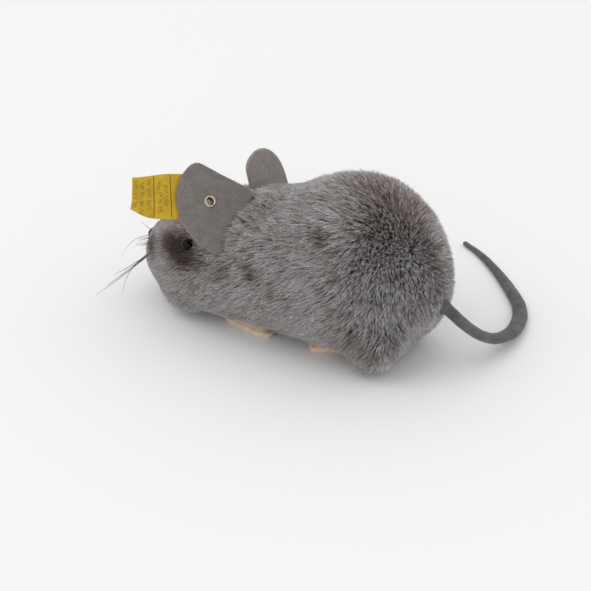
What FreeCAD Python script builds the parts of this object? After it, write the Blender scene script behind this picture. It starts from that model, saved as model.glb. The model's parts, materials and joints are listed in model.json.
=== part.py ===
import FreeCAD, Part
import math
import os
import Sketcher
from FreeCAD import Placement, Rotation, Vector

# Clockwork mouse: a plush cover over a spring motor on a tin chassis.
# Millimetres. The nose points to -Y, the tail to +Y, +X is the mouse's own left, the floor is z = 0.
# The body is modelled about the middle of its own width and length, on the floor at z = 0, with every
# shaft along X. At the end each piece moves by origin_shift, which puts the origin on the floor under
# the middle of the whole outline, tail included.

doc = FreeCAD.newDocument("clockwork_mouse")
dims = doc.addObject("Spreadsheet::Sheet", "dims")

DIMENSIONS = [
    # spring motor
    ("gear_module", 0.6), ("pressure_angle", 25), ("addendum_factor", 0.8), ("dedendum_factor", 1.1),
    ("tooth_thinning", 0.09), ("great_teeth", 40), ("pinion_teeth", 12), ("second_teeth", 36),
    ("ratchet_teeth", 12), ("great_to_second_angle", -21.5), ("second_to_drive_angle", -40),
    ("axle_y", 33), ("axle_height", 7), ("shaft_play", 0.05), ("winding_radius", 1.5),
    ("winding_collar_radius", 2.2), ("second_radius", 0.8), ("axle_radius", 1), ("great_x", 0.1),
    ("great_thickness", 0.9), ("ratchet_x", 1.15), ("ratchet_thickness", 0.7), ("ratchet_tip", 4.4),
    ("ratchet_root", 3.6), ("second_x", 2.2), ("second_thickness", 0.8), ("pinion_a_x", -0.3),
    ("pinion_a_width", 1.7), ("pinion_b_x", 1.8), ("pinion_b_width", 1.6), ("spring_x", -3.9),
    ("spring_width", 3.5), ("spring_strip", 0.35), ("spring_inner", 2.7), ("spring_pitch", 0.85),
    ("spring_turns", 11.38), ("click_pivot_y", 4.2), ("click_pivot_z", 6.4), ("click_pin_radius", 0.5),
    ("click_boss_radius", 1.2), ("click_pin_head", 0.9), ("lightening_radius", 1.5),
    ("lightening_circle", 9), ("lightening_windows", 5), ("shaft_end", 0.4),
    # chassis
    ("frame_inner", 4.3), ("frame_thickness", 0.7), ("frame_bottom", 5.4), ("pillar_radius", 1.2),
    ("plate_bottom", 4.6), ("plate_thickness", 0.8), ("plate_half_width", 11.6), ("plate_front", -24),
    ("plate_back", 39), ("wheel_notch_front", 24.6), ("wheel_notch_half", 5.15), ("tab_drop", 1.2),
    ("tab_length", 5), ("tab_play", 0.1),
    # wheels
    ("tyre_radius", 7), ("wheel_radius", 5.4), ("wheel_inner", 5.5), ("wheel_width", 2.4),
    ("wheel_dish", 0.7), ("hub_radius", 2.2), ("axle_half_length", 8.3), ("roller_y", -14),
    ("roller_radius", 3.2), ("roller_half_width", 2.8), ("roller_axle_radius", 0.7),
    ("bracket_inner", 3.1), ("bracket_thickness", 0.6), ("bracket_length", 5), ("bracket_top", 7.4),
    ("bracket_bottom", 1.9), ("bracket_foot", 7), ("rivet_head", 1.3),
    ("rivet_head_height", 0.5),
    # winding key, on the right flank
    ("key_shank_radius", 2.3), ("key_shank_start", -31), ("key_shank_end", -38.5),
    ("key_lobe_radius", 4.8), ("key_lobe_offset", 4.6), ("key_centre", -42.6), ("key_thickness", 1.4),
    ("key_hole_radius", 1.8), ("arbor_left_end", 5.6), ("arbor_right_end", -37), ("bush_bore", 2),
    ("bush_radius", 3.3), ("bush_flange", 4.4), ("bush_outer_x", -29.4), ("bush_inner_x", -24),
    # plush cover
    ("cover_thickness", 2.2), ("stuffing_gap", 0.25), ("head_stuffing_back", -27),
    ("rump_stuffing_front", 44), ("haunch_x", 14.3), ("haunch_y", 39.5), ("haunch_z", 15.2),
    ("haunch_rx", 9), ("haunch_ry", 11.4), ("haunch_rz", 12.9), ("cheek_x", 10.5), ("cheek_y", -35.6),
    ("cheek_z", 12.8), ("cheek_rx", 12), ("cheek_ry", 12), ("cheek_rz", 10.7),
    ("opening_half", 8.9), ("opening_front", -22), ("opening_back", 41), ("shelf_half", 11.9),
    ("shelf_front", -24.5), ("shelf_back", 25), ("opening_top", 15),
    # felt, beads and bristles
    ("felt_thickness", 1.4), ("eyelet_flange", 2), ("eyelet_barrel", 1.3), ("eyelet_bore", 0.95),
    ("eyelet_rim", 0.45), ("eyelet_along", 3.05), ("eyelet_across", -1.4), ("label_length", 31.5),
    ("label_width", 15.5), ("label_thickness", 0.3), ("label_lead", 3.6), ("label_front_share", 0.62),
    ("label_turn", 19), ("label_corner_length", 9), ("label_corner_width", 5), ("eye_radius", 2.2),
    ("eye_x", 21.7), ("eye_y", -29.6), ("eye_z", 33), ("nose_y", -60.2), ("nose_z", 19.4),
    ("nose_rx", 2.3), ("nose_ry", 1.9), ("nose_rz", 1.9), ("whisker_radius", 0.2),
    ("foot_thickness", 2.3), ("foot_root_share", 0.72), ("front_foot_length", 21),
    ("front_foot_width", 6.4), ("front_foot_x", 10.2), ("front_foot_y", -12.2),
    ("front_foot_splay", -9), ("hind_foot_length", 17),
    ("hind_foot_width", 5.6), ("hind_foot_x", 6.8), ("hind_foot_y", 19.6), ("hind_foot_splay", 36),
    # the whole outline
    ("origin_shift_x", 21.2), ("origin_shift_y", -0.2),
]

# Body sections, nose to rump: place along Y, top, underside and half width of the pile.
SECTIONS = [
    (-60.6, 19.2, 14.8, 1.8), (-59.2, 22.2, 10.8, 4.8), (-55.4, 27.0, 7.4, 10.8), (-46, 34.2, 5.2, 19.6),
    (-32, 42.7, 2.2, 24.5), (-12, 49.7, 2.2, 27.2), (12, 59.2, 2.6, 28.4), (34, 62.3, 2.9, 26.7),
    (47, 55.6, 10.5, 18.6), (55, 45.6, 18.5, 10.8), (58.2, 37.0, 23.0, 5.6), (59.2, 33.0, 26.0, 2.4),
]
for number, section in enumerate(SECTIONS):
    for part_name, value in zip(("y", "top", "under", "half"), section):
        DIMENSIONS.append((f"section_{number}_{part_name}", value))

for row, (alias, value) in enumerate(DIMENSIONS, start=1):
    dims.set(f"A{row}", alias)
    dims.set(f"B{row}", str(value))
    dims.setAlias(f"B{row}", alias)
doc.recompute()


def dim(alias):
    """The value of a cell of the dimension sheet."""
    return float(dims.get(alias))


exported = []


def keep(item, label):
    """Give a finished sub-part its name and put it on the export list."""
    item.Label = label
    exported.append(item)
    return item


def bind(item, **expressions):
    """Bind properties of an object to expressions; short names are cells of the sheet."""
    for name, text in expressions.items():
        item.setExpression(name, text)
    return item


# ---------------------------------------------------------------- PartDesign helpers


def new_body(name):
    return doc.addObject("PartDesign::Body", name)


def plane_of(body, role):
    return next(f for f in body.Origin.OriginFeatures if f.Role == role)


def new_sketch(body, name, role="YZ_Plane", offset=0.0):
    """A sketch on one of the body's own planes. On YZ the sketch's x is Y and its y is Z."""
    sketch = body.newObject("Sketcher::SketchObject", name)
    sketch.AttachmentSupport = [(plane_of(body, role), "")]
    sketch.MapMode = "FlatFace"
    sketch.AttachmentOffset = Placement(Vector(0, 0, offset), Rotation())
    return sketch


def add_circle(sketch, radius, centre=(0.0, 0.0)):
    """A circle whose radius is bound to an expression and whose centre is fixed."""
    index = sketch.addGeometry(Part.Circle(Vector(centre[0], centre[1], 0), Vector(0, 0, 1), 1.0))
    name = f"radius_{index}"
    number = sketch.addConstraint(Sketcher.Constraint("Radius", index, 1.0))
    sketch.renameConstraint(number, name)
    sketch.setExpression(f"Constraints.{name}", radius)
    for axis, value in (("DistanceX", centre[0]), ("DistanceY", centre[1])):
        if value:
            sketch.addConstraint(Sketcher.Constraint(axis, -1, 1, index, 3, value))
        else:
            on = -2 if axis == "DistanceX" else -1
            sketch.addConstraint(Sketcher.Constraint("PointOnObject", index, 3, on))
    return index


def add_polygon(sketch, points):
    """A closed polygon through the points, with its corners joined."""
    first = None
    count = len(points)
    for i in range(count):
        a, b = points[i], points[(i + 1) % count]
        line = sketch.addGeometry(Part.LineSegment(Vector(a[0], a[1], 0), Vector(b[0], b[1], 0)))
        first = line if first is None else first
        if i:
            sketch.addConstraint(Sketcher.Constraint("Coincident", line - 1, 2, line, 1))
    sketch.addConstraint(Sketcher.Constraint("Coincident", line, 2, first, 1))


def pad(body, sketch, name, length):
    feature = body.newObject("PartDesign::Pad", name)
    feature.Profile = sketch
    feature.setExpression("Length", length)
    return feature


def pocket_through(body, sketch, name):
    """A pocket through the whole body, both ways from its sketch."""
    feature = body.newObject("PartDesign::Pocket", name)
    feature.Profile = sketch
    feature.Type = "ThroughAll"
    feature.Midplane = True
    return feature


def around_axis(body, feature, name, occurrences, role="X_Axis"):
    pattern = body.newObject("PartDesign::PolarPattern", name)
    pattern.Originals = [feature]
    pattern.Axis = (plane_of(body, role), [""])
    pattern.Angle = 360
    pattern.setExpression("Occurrences", occurrences)
    body.Tip = pattern
    return pattern


def place(item, x=0.0, y=0.0, z=0.0, turn=0.0, axis=Vector(1, 0, 0)):
    item.Placement = Placement(Vector(x, y, z), Rotation(axis, turn))
    return item


def along_x(name, radius, length):
    """A plain cylinder whose axis is +X, starting at its own origin."""
    item = doc.addObject("Part::Cylinder", name)
    bind(item, Radius=radius, Height=length)
    item.Placement = Placement(Vector(), Rotation(Vector(0, 1, 0), 90))
    return item


def shift(item, x, y, z):
    item.Placement = Placement(Vector(x, y, z), item.Placement.Rotation)
    return item


def fuse(name, *items):
    whole = doc.addObject("Part::MultiFuse", name)
    whole.Shapes = list(items)
    return whole


def cut(name, base, tool):
    rest = doc.addObject("Part::Cut", name)
    rest.Base = base
    rest.Tool = tool
    return rest


def block(name, low, high):
    """A box between two corners."""
    item = doc.addObject("Part::Box", name)
    item.Length, item.Width, item.Height = (h - l for l, h in zip(low, high))
    item.Placement.Base = Vector(*low)
    return item


# ---------------------------------------------------------------- where the train's shafts are

module = dim("gear_module")
great_teeth, pinion_teeth = int(dim("great_teeth")), int(dim("pinion_teeth"))
second_teeth = int(dim("second_teeth"))
first_angle, last_angle = dim("great_to_second_angle"), dim("second_to_drive_angle")
great_distance = module * (great_teeth + pinion_teeth) / 2
second_distance = module * (second_teeth + pinion_teeth) / 2


def stepped(point, distance, angle):
    """The point at a distance and an angle from another, in the Y-Z plane."""
    a = math.radians(angle)
    return point[0] + distance * math.cos(a), point[1] + distance * math.sin(a)


drive_shaft = (dim("axle_y"), dim("axle_height"))
second_shaft = stepped(drive_shaft, -second_distance, last_angle)
winding_shaft = stepped(second_shaft, -great_distance, first_angle)
frame_inner, frame_thickness = dim("frame_inner"), dim("frame_thickness")
frame_outer = frame_inner + frame_thickness


# ---------------------------------------------------------------- gears


def involute(angle):
    return math.tan(angle) - angle


def tooth_gap(sketch, teeth):
    """The space between two teeth, centred on the sketch's x axis, with involute flanks."""
    pitch = module * teeth / 2
    pressure = math.radians(dim("pressure_angle"))
    base = pitch * math.cos(pressure)
    root = pitch - module * dim("dedendum_factor")
    outer = pitch + module * dim("addendum_factor") + 0.25
    half_tooth = (math.pi * module / 2 - dim("tooth_thinning")) / (2 * pitch)

    def flank(radius):
        turn = math.acos(min(1.0, base / radius))
        angle = math.pi / teeth - (half_tooth + involute(pressure) - involute(turn))
        return radius * math.cos(angle), radius * math.sin(angle)

    start = max(root, base)
    steps = 5
    side = [flank(start + (outer - start) * k / steps) for k in range(steps + 1)]
    foot = math.atan2(side[0][1], side[0][0])
    low = (root * math.cos(foot), root * math.sin(foot))
    curves = []
    for sign in (1, -1):
        curve = Part.BSplineCurve()
        curve.interpolate([Vector(x, sign * y, 0) for x, y in side])
        curves.append(curve)
        if root < base:
            curves.append(Part.LineSegment(Vector(low[0], sign * low[1], 0),
                                           Vector(side[0][0], sign * side[0][1], 0)))
    low = low if root < base else side[0]
    curves.append(Part.LineSegment(Vector(low[0], low[1], 0), Vector(low[0], -low[1], 0)))
    curves.append(Part.LineSegment(Vector(side[-1][0], side[-1][1], 0),
                                   Vector(side[-1][0], -side[-1][1], 0)))
    for curve in curves:
        sketch.addGeometry(curve)


def gear(name, teeth, width, bore):
    """A spur gear along +X from its own origin, with a tooth gap on its +Y side."""
    body = new_body(name)
    count = int(dim(teeth))
    blank = new_sketch(body, f"{name}_blank")
    add_circle(blank, f"dims.gear_module * (dims.{teeth} / 2 + dims.addendum_factor)")
    pad(body, blank, f"{name}_disc", width)
    gap = new_sketch(body, f"{name}_gap")
    tooth_gap(gap, count)
    space = pocket_through(body, gap, f"{name}_space")
    doc.recompute()
    around_axis(body, space, f"{name}_spaces", f"dims.{teeth}")
    hole = new_sketch(body, f"{name}_hole")
    add_circle(hole, bore)
    pocket_through(body, hole, f"{name}_bore")
    return body


def half_pitch(teeth):
    return 180.0 / teeth


# Great wheel: runs free on the winding arbor and carries the click.
great = gear("great_wheel", "great_teeth", "dims.great_thickness", "dims.winding_radius + dims.shaft_play")
window = new_sketch(great, "great_window")
window_angle = math.radians(-30)
window_place = dim("lightening_circle")
add_circle(window, "dims.lightening_radius",
           (window_place * math.cos(window_angle), window_place * math.sin(window_angle)))
window_cut = pocket_through(great, window, "great_window_cut")
doc.recompute()
around_axis(great, window_cut, "great_windows", "dims.lightening_windows")
great_turn = first_angle + half_pitch(great_teeth)
place(great, dim("great_x"), *winding_shaft, turn=great_turn)
keep(great, "great_wheel")

# Second arbor: a pinion driven by the great wheel and a wheel that drives the axle.
second_pinion = gear("second_pinion", "pinion_teeth", "dims.pinion_a_width", "dims.second_radius")
place(second_pinion, dim("pinion_a_x"), *second_shaft, turn=first_angle + 180)
keep(second_pinion, "second_pinion")
second_wheel = gear("second_wheel", "second_teeth", "dims.second_thickness", "dims.second_radius")
place(second_wheel, dim("second_x"), *second_shaft, turn=last_angle + half_pitch(second_teeth))
keep(second_wheel, "second_wheel")
drive_pinion = gear("drive_pinion", "pinion_teeth", "dims.pinion_b_width", "dims.axle_radius")
place(drive_pinion, dim("pinion_b_x"), *drive_shaft, turn=last_angle + 180)
keep(drive_pinion, "drive_pinion")

second_arbor = along_x("second_arbor_rod", "dims.second_radius",
                       "2 * (dims.frame_inner + dims.frame_thickness + dims.shaft_end)")
keep(shift(second_arbor, -frame_outer - dim("shaft_end"), *second_shaft), "second_arbor")
drive_axle = along_x("drive_axle_rod", "dims.axle_radius", "2 * dims.axle_half_length")
keep(shift(drive_axle, -dim("axle_half_length"), *drive_shaft), "drive_axle")

# Winding arbor: a shaft with a thicker collar that the mainspring is hooked to.
arbor_rod = along_x("arbor_rod", "dims.winding_radius", "dims.arbor_left_end - dims.arbor_right_end")
shift(arbor_rod, dim("arbor_right_end"), *winding_shaft)
arbor_collar = along_x("arbor_collar", "dims.winding_collar_radius", "dims.spring_width")
shift(arbor_collar, dim("spring_x"), *winding_shaft)
keep(fuse("arbor_whole", arbor_rod, arbor_collar), "winding_arbor")

# Ratchet wheel: saw teeth, each with one radial face that pushes the click while the spring unwinds.
ratchet = new_body("ratchet_wheel")
ratchet_blank = new_sketch(ratchet, "ratchet_outline")
ratchet_count = int(dim("ratchet_teeth"))
ratchet_outline = []
for tooth in range(ratchet_count):
    face = 2 * math.pi * tooth / ratchet_count
    for radius in (dim("ratchet_tip"), dim("ratchet_root")):
        ratchet_outline.append((radius * math.cos(face), radius * math.sin(face)))
add_polygon(ratchet_blank, ratchet_outline)
pad(ratchet, ratchet_blank, "ratchet_disc", "dims.ratchet_thickness")
ratchet_hole = new_sketch(ratchet, "ratchet_hole")
add_circle(ratchet_hole, "dims.winding_radius")
pocket_through(ratchet, ratchet_hole, "ratchet_bore")
place(ratchet, dim("ratchet_x"), *winding_shaft)
keep(ratchet, "ratchet_wheel")

# Click: a pawl on the great wheel; its nose stands in a ratchet gap, just clear of the radial face.
click_pivot = (dim("click_pivot_y"), dim("click_pivot_z"))
click_arm = new_body("click_arm")
arm_sketch = new_sketch(click_arm, "click_outline")
add_polygon(arm_sketch, [(3.8, 0.1), (4.05, 1.1), (4.2, 2.3), (3.5, 5.6), (5.2, 6.2), (5.4, 2.0),
                         (4.9, 0.1)])
pad(click_arm, arm_sketch, "click_bar", "dims.ratchet_thickness")
place(click_arm, dim("ratchet_x"), *winding_shaft)
click_boss = along_x("click_boss", "dims.click_boss_radius", "dims.ratchet_thickness")
pivot_place = (winding_shaft[0] + click_pivot[0], winding_shaft[1] + click_pivot[1])
shift(click_boss, dim("ratchet_x"), *pivot_place)
click_hole = along_x("click_hole", "dims.click_pin_radius + dims.shaft_play", "dims.ratchet_thickness + 1")
shift(click_hole, dim("ratchet_x") - 0.5, *pivot_place)
keep(cut("click_whole", fuse("click_solid", click_arm, click_boss), click_hole), "click")

# Click pin: a shouldered rivet that fills its hole in the great wheel.
click_pin_rod = along_x("click_pin_rod", "dims.click_pin_radius", "1.1")
shift(click_pin_rod, dim("great_x") + dim("great_thickness"), *pivot_place)
click_pin_top = along_x("click_pin_top", "dims.click_pin_head", "0.15")
shift(click_pin_top, dim("great_x") + dim("great_thickness") + 0.95, *pivot_place)
keep(fuse("click_pin_whole", click_pin_rod, click_pin_top), "click_pin")

# Click spring: a bent strip behind the click.
click_spring = new_body("click_spring")
spring_sketch = new_sketch(click_spring, "click_spring_outline")
add_polygon(spring_sketch, [(5.5, 1.2), (5.75, 1.2), (6.0, 4.6), (7.6, 7.2), (7.4, 7.4), (5.75, 4.7)])
pad(click_spring, spring_sketch, "click_spring_strip", "dims.ratchet_thickness - 0.1")
place(click_spring, dim("ratchet_x") + 0.05, *winding_shaft)
keep(click_spring, "click_spring")


# ---------------------------------------------------------------- mainspring


def mainspring_shape():
    """A flat strip coiled round the arbor; its outer turn ends against a pillar."""
    turns, inner, pitch = dim("spring_turns"), dim("spring_inner"), dim("spring_pitch")
    strip, width = dim("spring_strip"), dim("spring_width")
    per_turn = 16
    count = math.floor(turns * per_turn)
    per_turn = count / turns
    inside, outside = [], []
    for k in range(count + 1):
        angle = 2 * math.pi * k / per_turn
        radius = inner + pitch * k / per_turn
        for side, r in ((inside, radius), (outside, radius + strip)):
            side.append(Vector(0, r * math.cos(angle), r * math.sin(angle)))
    edges = []
    for side in (inside, outside):
        curve = Part.BSplineCurve()
        curve.interpolate(side)
        edges.append(curve.toShape())
    edges.append(Part.makeLine(inside[0], outside[0]))
    edges.append(Part.makeLine(inside[-1], outside[-1]))
    outline = Part.Wire(Part.__sortEdges__(edges))
    return Part.Face(outline).extrude(Vector(width, 0, 0))


# A spiral strip has no primitive of its own, so its shape is made from the sheet's values.
mainspring = doc.addObject("Part::Feature", "mainspring_strip")
mainspring.Shape = mainspring_shape()
place(mainspring, dim("spring_x"), *winding_shaft)
keep(mainspring, "mainspring")


# ---------------------------------------------------------------- motor frame and chassis plate

# One pillar stands at the end of the mainspring's outer turn and holds it.
spring_end = dim("spring_inner") + dim("spring_pitch") * dim("spring_turns") + dim("spring_strip")
spring_pillar = stepped(winding_shaft, spring_end + dim("pillar_radius") + dim("shaft_play"),
                        360 * dim("spring_turns"))
PILLARS = [(-4, 9), spring_pillar, (19, 33), (35.4, 15)]
FRAME_OUTLINE = [(-7, 5.4), (37, 5.4), (38, 12), (38, 17), (22, 36), (-3, 37), (-8, 35), (-7.5, 9)]
TABS = [-2.0, 10.0]


def frame_plate(name, label, x, winding_bore):
    """One side plate of the motor, with a hole for each shaft and two tabs for the chassis plate."""
    body = new_body(name)
    outline = new_sketch(body, f"{name}_outline")
    add_polygon(outline, FRAME_OUTLINE)
    pad(body, outline, f"{name}_sheet", "dims.frame_thickness")
    for tab, start in enumerate(TABS):
        tab_sketch = new_sketch(body, f"{name}_tab_{tab}")
        low, high = dim("frame_bottom") - dim("tab_drop"), dim("frame_bottom") + 1
        end = start + dim("tab_length")
        add_polygon(tab_sketch, [(start, low), (end, low), (end, high), (start, high)])
        pad(body, tab_sketch, f"{name}_tab_pad_{tab}", "dims.frame_thickness")
    holes = new_sketch(body, f"{name}_holes")
    add_circle(holes, winding_bore, winding_shaft)
    add_circle(holes, "dims.second_radius + dims.shaft_play", second_shaft)
    add_circle(holes, "dims.axle_radius + dims.shaft_play", drive_shaft)
    pocket_through(body, holes, f"{name}_drilling")
    place(body, x)
    return keep(body, label)


free_on_arbor = "dims.winding_radius + dims.shaft_play"
frame_plate("plate_left", "frame_plate_left", frame_inner, free_on_arbor)
frame_plate("plate_right", "frame_plate_right", -frame_outer, free_on_arbor)
pillars = []
for number, (y, z) in enumerate(PILLARS):
    pillar = along_x(f"pillar_{number}", "dims.pillar_radius", "2 * dims.frame_inner")
    pillars.append(shift(pillar, -frame_inner, y, z))
keep(fuse("pillar_set", *pillars), "frame_pillars")

# Pillar rivets: a head outside each plate at each pillar.
rivets = []
for number, (y, z) in enumerate(PILLARS):
    for side in (1, -1):
        head = along_x(f"rivet_{number}_{side + 1}", "dims.rivet_head", "dims.rivet_head_height")
        start = frame_outer if side > 0 else -frame_outer - dim("rivet_head_height")
        rivets.append(shift(head, start, y, z))
keep(fuse("rivet_set", *rivets), "pillar_rivets")

# Chassis plate: tin sheet, wide in front, notched for the drive wheels, slotted for gears and roller.
half = dim("plate_half_width")
front, back, notch = dim("plate_front"), dim("plate_back"), dim("wheel_notch_front")
narrow = dim("wheel_notch_half")
roller_y = dim("roller_y")
chassis = new_body("chassis_plate")
chassis_outline = new_sketch(chassis, "chassis_outline", "XY_Plane")
add_polygon(chassis_outline, [(-half + 3, front), (half - 3, front), (half, front + 3), (half, notch - 2),
                              (half - 3, notch), (narrow, notch), (narrow, back), (-narrow, back),
                              (-narrow, notch), (-half + 3, notch), (-half, notch - 2), (-half, front + 3)])
pad(chassis, chassis_outline, "chassis_sheet", "dims.plate_thickness")
slots = new_sketch(chassis, "chassis_slots", "XY_Plane")
gear_slot = (1.2, 3.9, 16.2, 37.6)
slot_boxes = [gear_slot, (-4.1, 4.1, roller_y - 4, roller_y + 4)]
play = dim("tab_play")
for start in TABS:
    for low in (frame_inner, -frame_outer):
        slot_boxes.append((low - play, low + frame_thickness + play,
                           start - play, start + dim("tab_length") + play))
for x0, x1, y0, y1 in slot_boxes:
    add_polygon(slots, [(x0, y0), (x1, y0), (x1, y1), (x0, y1)])
pocket_through(chassis, slots, "chassis_slotting")
place(chassis, z=dim("plate_bottom"))
keep(chassis, "chassis_plate")


# ---------------------------------------------------------------- wheels


def revolved(name, outline):
    """A solid turned about X from half an outline given as (x, radius) points."""
    body = new_body(name)
    sketch = new_sketch(body, f"{name}_profile", "XY_Plane")
    add_polygon(sketch, outline)
    feature = body.newObject("PartDesign::Revolution", f"{name}_turned")
    feature.Profile = sketch
    feature.ReferenceAxis = (plane_of(body, "X_Axis"), [""])
    feature.Angle = 360
    return body


tyre_radius, wheel_radius, width = dim("tyre_radius"), dim("wheel_radius"), dim("wheel_width")
dish, hub, bore = dim("wheel_dish"), dim("hub_radius"), dim("axle_radius")
for side, start in (("left", dim("wheel_inner")), ("right", -dim("wheel_inner") - width)):
    wheel = revolved(f"wheel_{side}", [(0, bore), (0, hub), (dish, hub + 0.5), (dish, wheel_radius - 1),
                                       (0, wheel_radius - 0.6), (0, wheel_radius), (width, wheel_radius),
                                       (width, wheel_radius - 0.6), (width - dish, wheel_radius - 1),
                                       (width - dish, hub + 0.5), (width, hub), (width, bore)])
    keep(place(wheel, start, *drive_shaft), f"drive_wheel_{side}")
    tyre = revolved(f"tyre_{side}_ring", [(0, wheel_radius), (0, tyre_radius - 0.6), (0.6, tyre_radius),
                                          (width - 0.6, tyre_radius), (width, tyre_radius - 0.6),
                                          (width, wheel_radius)])
    keep(place(tyre, start, *drive_shaft), f"tyre_{side}")

# Front roller: turns on its own axle in a bracket that straddles the chassis plate's front slot.
roller_half, roller_r = dim("roller_half_width"), dim("roller_radius")
roller_bore = dim("roller_axle_radius") + dim("shaft_play")
roller = revolved("roller", [(-roller_half, roller_bore), (-roller_half, roller_r - 0.4),
                             (-roller_half + 0.4, roller_r), (roller_half - 0.4, roller_r),
                             (roller_half, roller_r - 0.4), (roller_half, roller_bore)])
keep(place(roller, 0, roller_y, roller_r), "front_roller")
leg_in = dim("bracket_inner")
leg_out = leg_in + dim("bracket_thickness")
roller_axle = along_x("roller_axle", "dims.roller_axle_radius",
                      "2 * (dims.bracket_inner + dims.bracket_thickness + dims.shaft_end)")
keep(shift(roller_axle, -leg_out - dim("shaft_end"), roller_y, roller_r), "front_axle")
bracket_top, bracket_foot = dim("bracket_top"), dim("bracket_foot")
sheet_t, seat = dim("bracket_thickness"), dim("frame_bottom")
bracket = new_body("bracket")
bracket_sketch = new_sketch(bracket, "bracket_outline", "XZ_Plane", -dim("bracket_length") / 2)
low = dim("bracket_bottom")
bracket_half = [(leg_out, low), (leg_out, seat), (bracket_foot, seat), (bracket_foot, seat + sheet_t),
                (leg_out, seat + sheet_t), (leg_out, bracket_top)]
bracket_inside = [(leg_in, bracket_top - sheet_t), (leg_in, low)]
add_polygon(bracket_sketch, bracket_half + [(-x, z) for x, z in reversed(bracket_half)]
            + [(-x, z) for x, z in reversed(bracket_inside)] + bracket_inside)
pad(bracket, bracket_sketch, "bracket_strip", "dims.bracket_length")
axle_hole = new_sketch(bracket, "bracket_hole")
add_circle(axle_hole, "dims.roller_axle_radius", (0.0, roller_r))
pocket_through(bracket, axle_hole, "bracket_drilling")
place(bracket, y=roller_y)
keep(bracket, "front_bracket")
bracket_rivets = []
for side in (1, -1):
    head = doc.addObject("Part::Cylinder", f"bracket_rivet_{side + 1}")
    bind(head, Radius="dims.rivet_head", Height="dims.rivet_head_height")
    head.Placement.Base = Vector(side * (bracket_foot + leg_out) / 2, roller_y, seat + sheet_t)
    bracket_rivets.append(head)
keep(fuse("bracket_rivet_set", *bracket_rivets), "bracket_rivets")


# ---------------------------------------------------------------- winding key

key_plate = new_body("key_plate")
bow = new_sketch(key_plate, "key_bow", "XZ_Plane", -dim("key_thickness") / 2)
lobe, reach = dim("key_lobe_radius"), dim("key_lobe_offset")
waist = math.sqrt(lobe**2 - reach**2)
spread = math.atan2(reach, waist)
for sign, start, end in ((1, -spread, math.pi + spread), (-1, math.pi - spread, 2 * math.pi + spread)):
    circle = Part.Circle(Vector(0, sign * reach, 0), Vector(0, 0, 1), lobe)
    bow.addGeometry(Part.ArcOfCircle(circle, start, end))
pad(key_plate, bow, "key_bow_plate", "dims.key_thickness")
bow_holes = new_sketch(key_plate, "key_bow_holes", "XZ_Plane")
for sign in (1, -1):
    add_circle(bow_holes, "dims.key_hole_radius", (0.0, sign * reach))
pocket_through(key_plate, bow_holes, "key_bow_piercing")
place(key_plate, dim("key_centre"), *winding_shaft)
key_shank = along_x("key_shank", "dims.key_shank_radius", "dims.key_shank_start - dims.key_shank_end")
shift(key_shank, dim("key_shank_end"), *winding_shaft)
key_bore = along_x("key_bore", "dims.winding_radius", "dims.key_shank_start - dims.arbor_right_end + 1")
shift(key_bore, dim("arbor_right_end"), *winding_shaft)
keep(cut("key_whole", fuse("key_solid", key_plate, key_shank), key_bore), "winding_key")


# ---------------------------------------------------------------- plush cover


def section_wire(number, inset):
    """An ellipse across the body, drawn in by an inset, starting on the +X side."""
    y, top, under, half_width = (dim(f"section_{number}_{n}") for n in ("y", "top", "under", "half"))
    middle, tall, wide = (top + under) / 2, (top - under) / 2 - inset, half_width - inset
    points = 24
    turns = [2 * math.pi * k / points for k in range(points)]
    ring = [Vector(wide * math.cos(a), y, middle + tall * math.sin(a)) for a in turns]
    curve = Part.BSplineCurve()
    curve.interpolate(ring, PeriodicFlag=True)
    return Part.Wire([curve.toShape()])


def body_loft(numbers, inset):
    return Part.makeLoft([section_wire(n, inset) for n in numbers], True, False)


def ellipsoid(name, centre, radii):
    item = doc.addObject("Part::Ellipsoid", name)
    bind(item, Radius1=radii[2], Radius2=radii[0], Radius3=radii[1])
    item.Angle1, item.Angle2, item.Angle3 = -90, 90, 360
    item.Placement.Base = Vector(*centre)
    return item


# The body's free-form loft has no PartDesign or Part primitive that keeps its sections in step.
last = len(SECTIONS) - 1
loft = doc.addObject("Part::Feature", "body_loft")
loft.Shape = body_loft(range(last + 1), 0)
lobes = [loft]
for side in (1, -1):
    for lobe_name in ("haunch", "cheek"):
        centre = (side * dim(f"{lobe_name}_x"), dim(f"{lobe_name}_y"), dim(f"{lobe_name}_z"))
        radii = [f"dims.{lobe_name}_r{axis}" for axis in "xyz"]
        lobes.append(ellipsoid(f"{lobe_name}_{side + 1}", centre, radii))
form = fuse("body_form", *lobes)

cavity = doc.addObject("Part::Feature", "body_cavity")
cavity.Shape = body_loft(range(2, last - 1), dim("cover_thickness"))
opening_top = dim("opening_top")
opening = block("belly_opening", (-dim("opening_half"), dim("opening_front"), -1),
                (dim("opening_half"), dim("opening_back"), opening_top))
shelf = block("belly_shelf", (-dim("shelf_half"), dim("shelf_front"), dim("plate_bottom")),
              (dim("shelf_half"), dim("shelf_back"), opening_top))
key_way = along_x("key_way", "dims.bush_radius", "dims.bush_inner_x - dims.arbor_right_end")
shift(key_way, dim("arbor_right_end"), *winding_shaft)
keep(cut("cover_shell", form, fuse("cover_spaces", cavity, opening, shelf, key_way)), "fur_cover")

# Key bush: a flanged ring that lines the hole for the key.
bush_bore, bush_radius, flange = dim("bush_bore"), dim("bush_radius"), dim("bush_flange")
bush_length = dim("bush_inner_x") - dim("bush_outer_x")
bush = revolved("bush", [(0, bush_bore), (0, flange), (0.6, flange), (0.6, bush_radius),
                         (bush_length, bush_radius), (bush_length, bush_bore)])
keep(place(bush, dim("bush_outer_x"), *winding_shaft), "key_bush")

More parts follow.
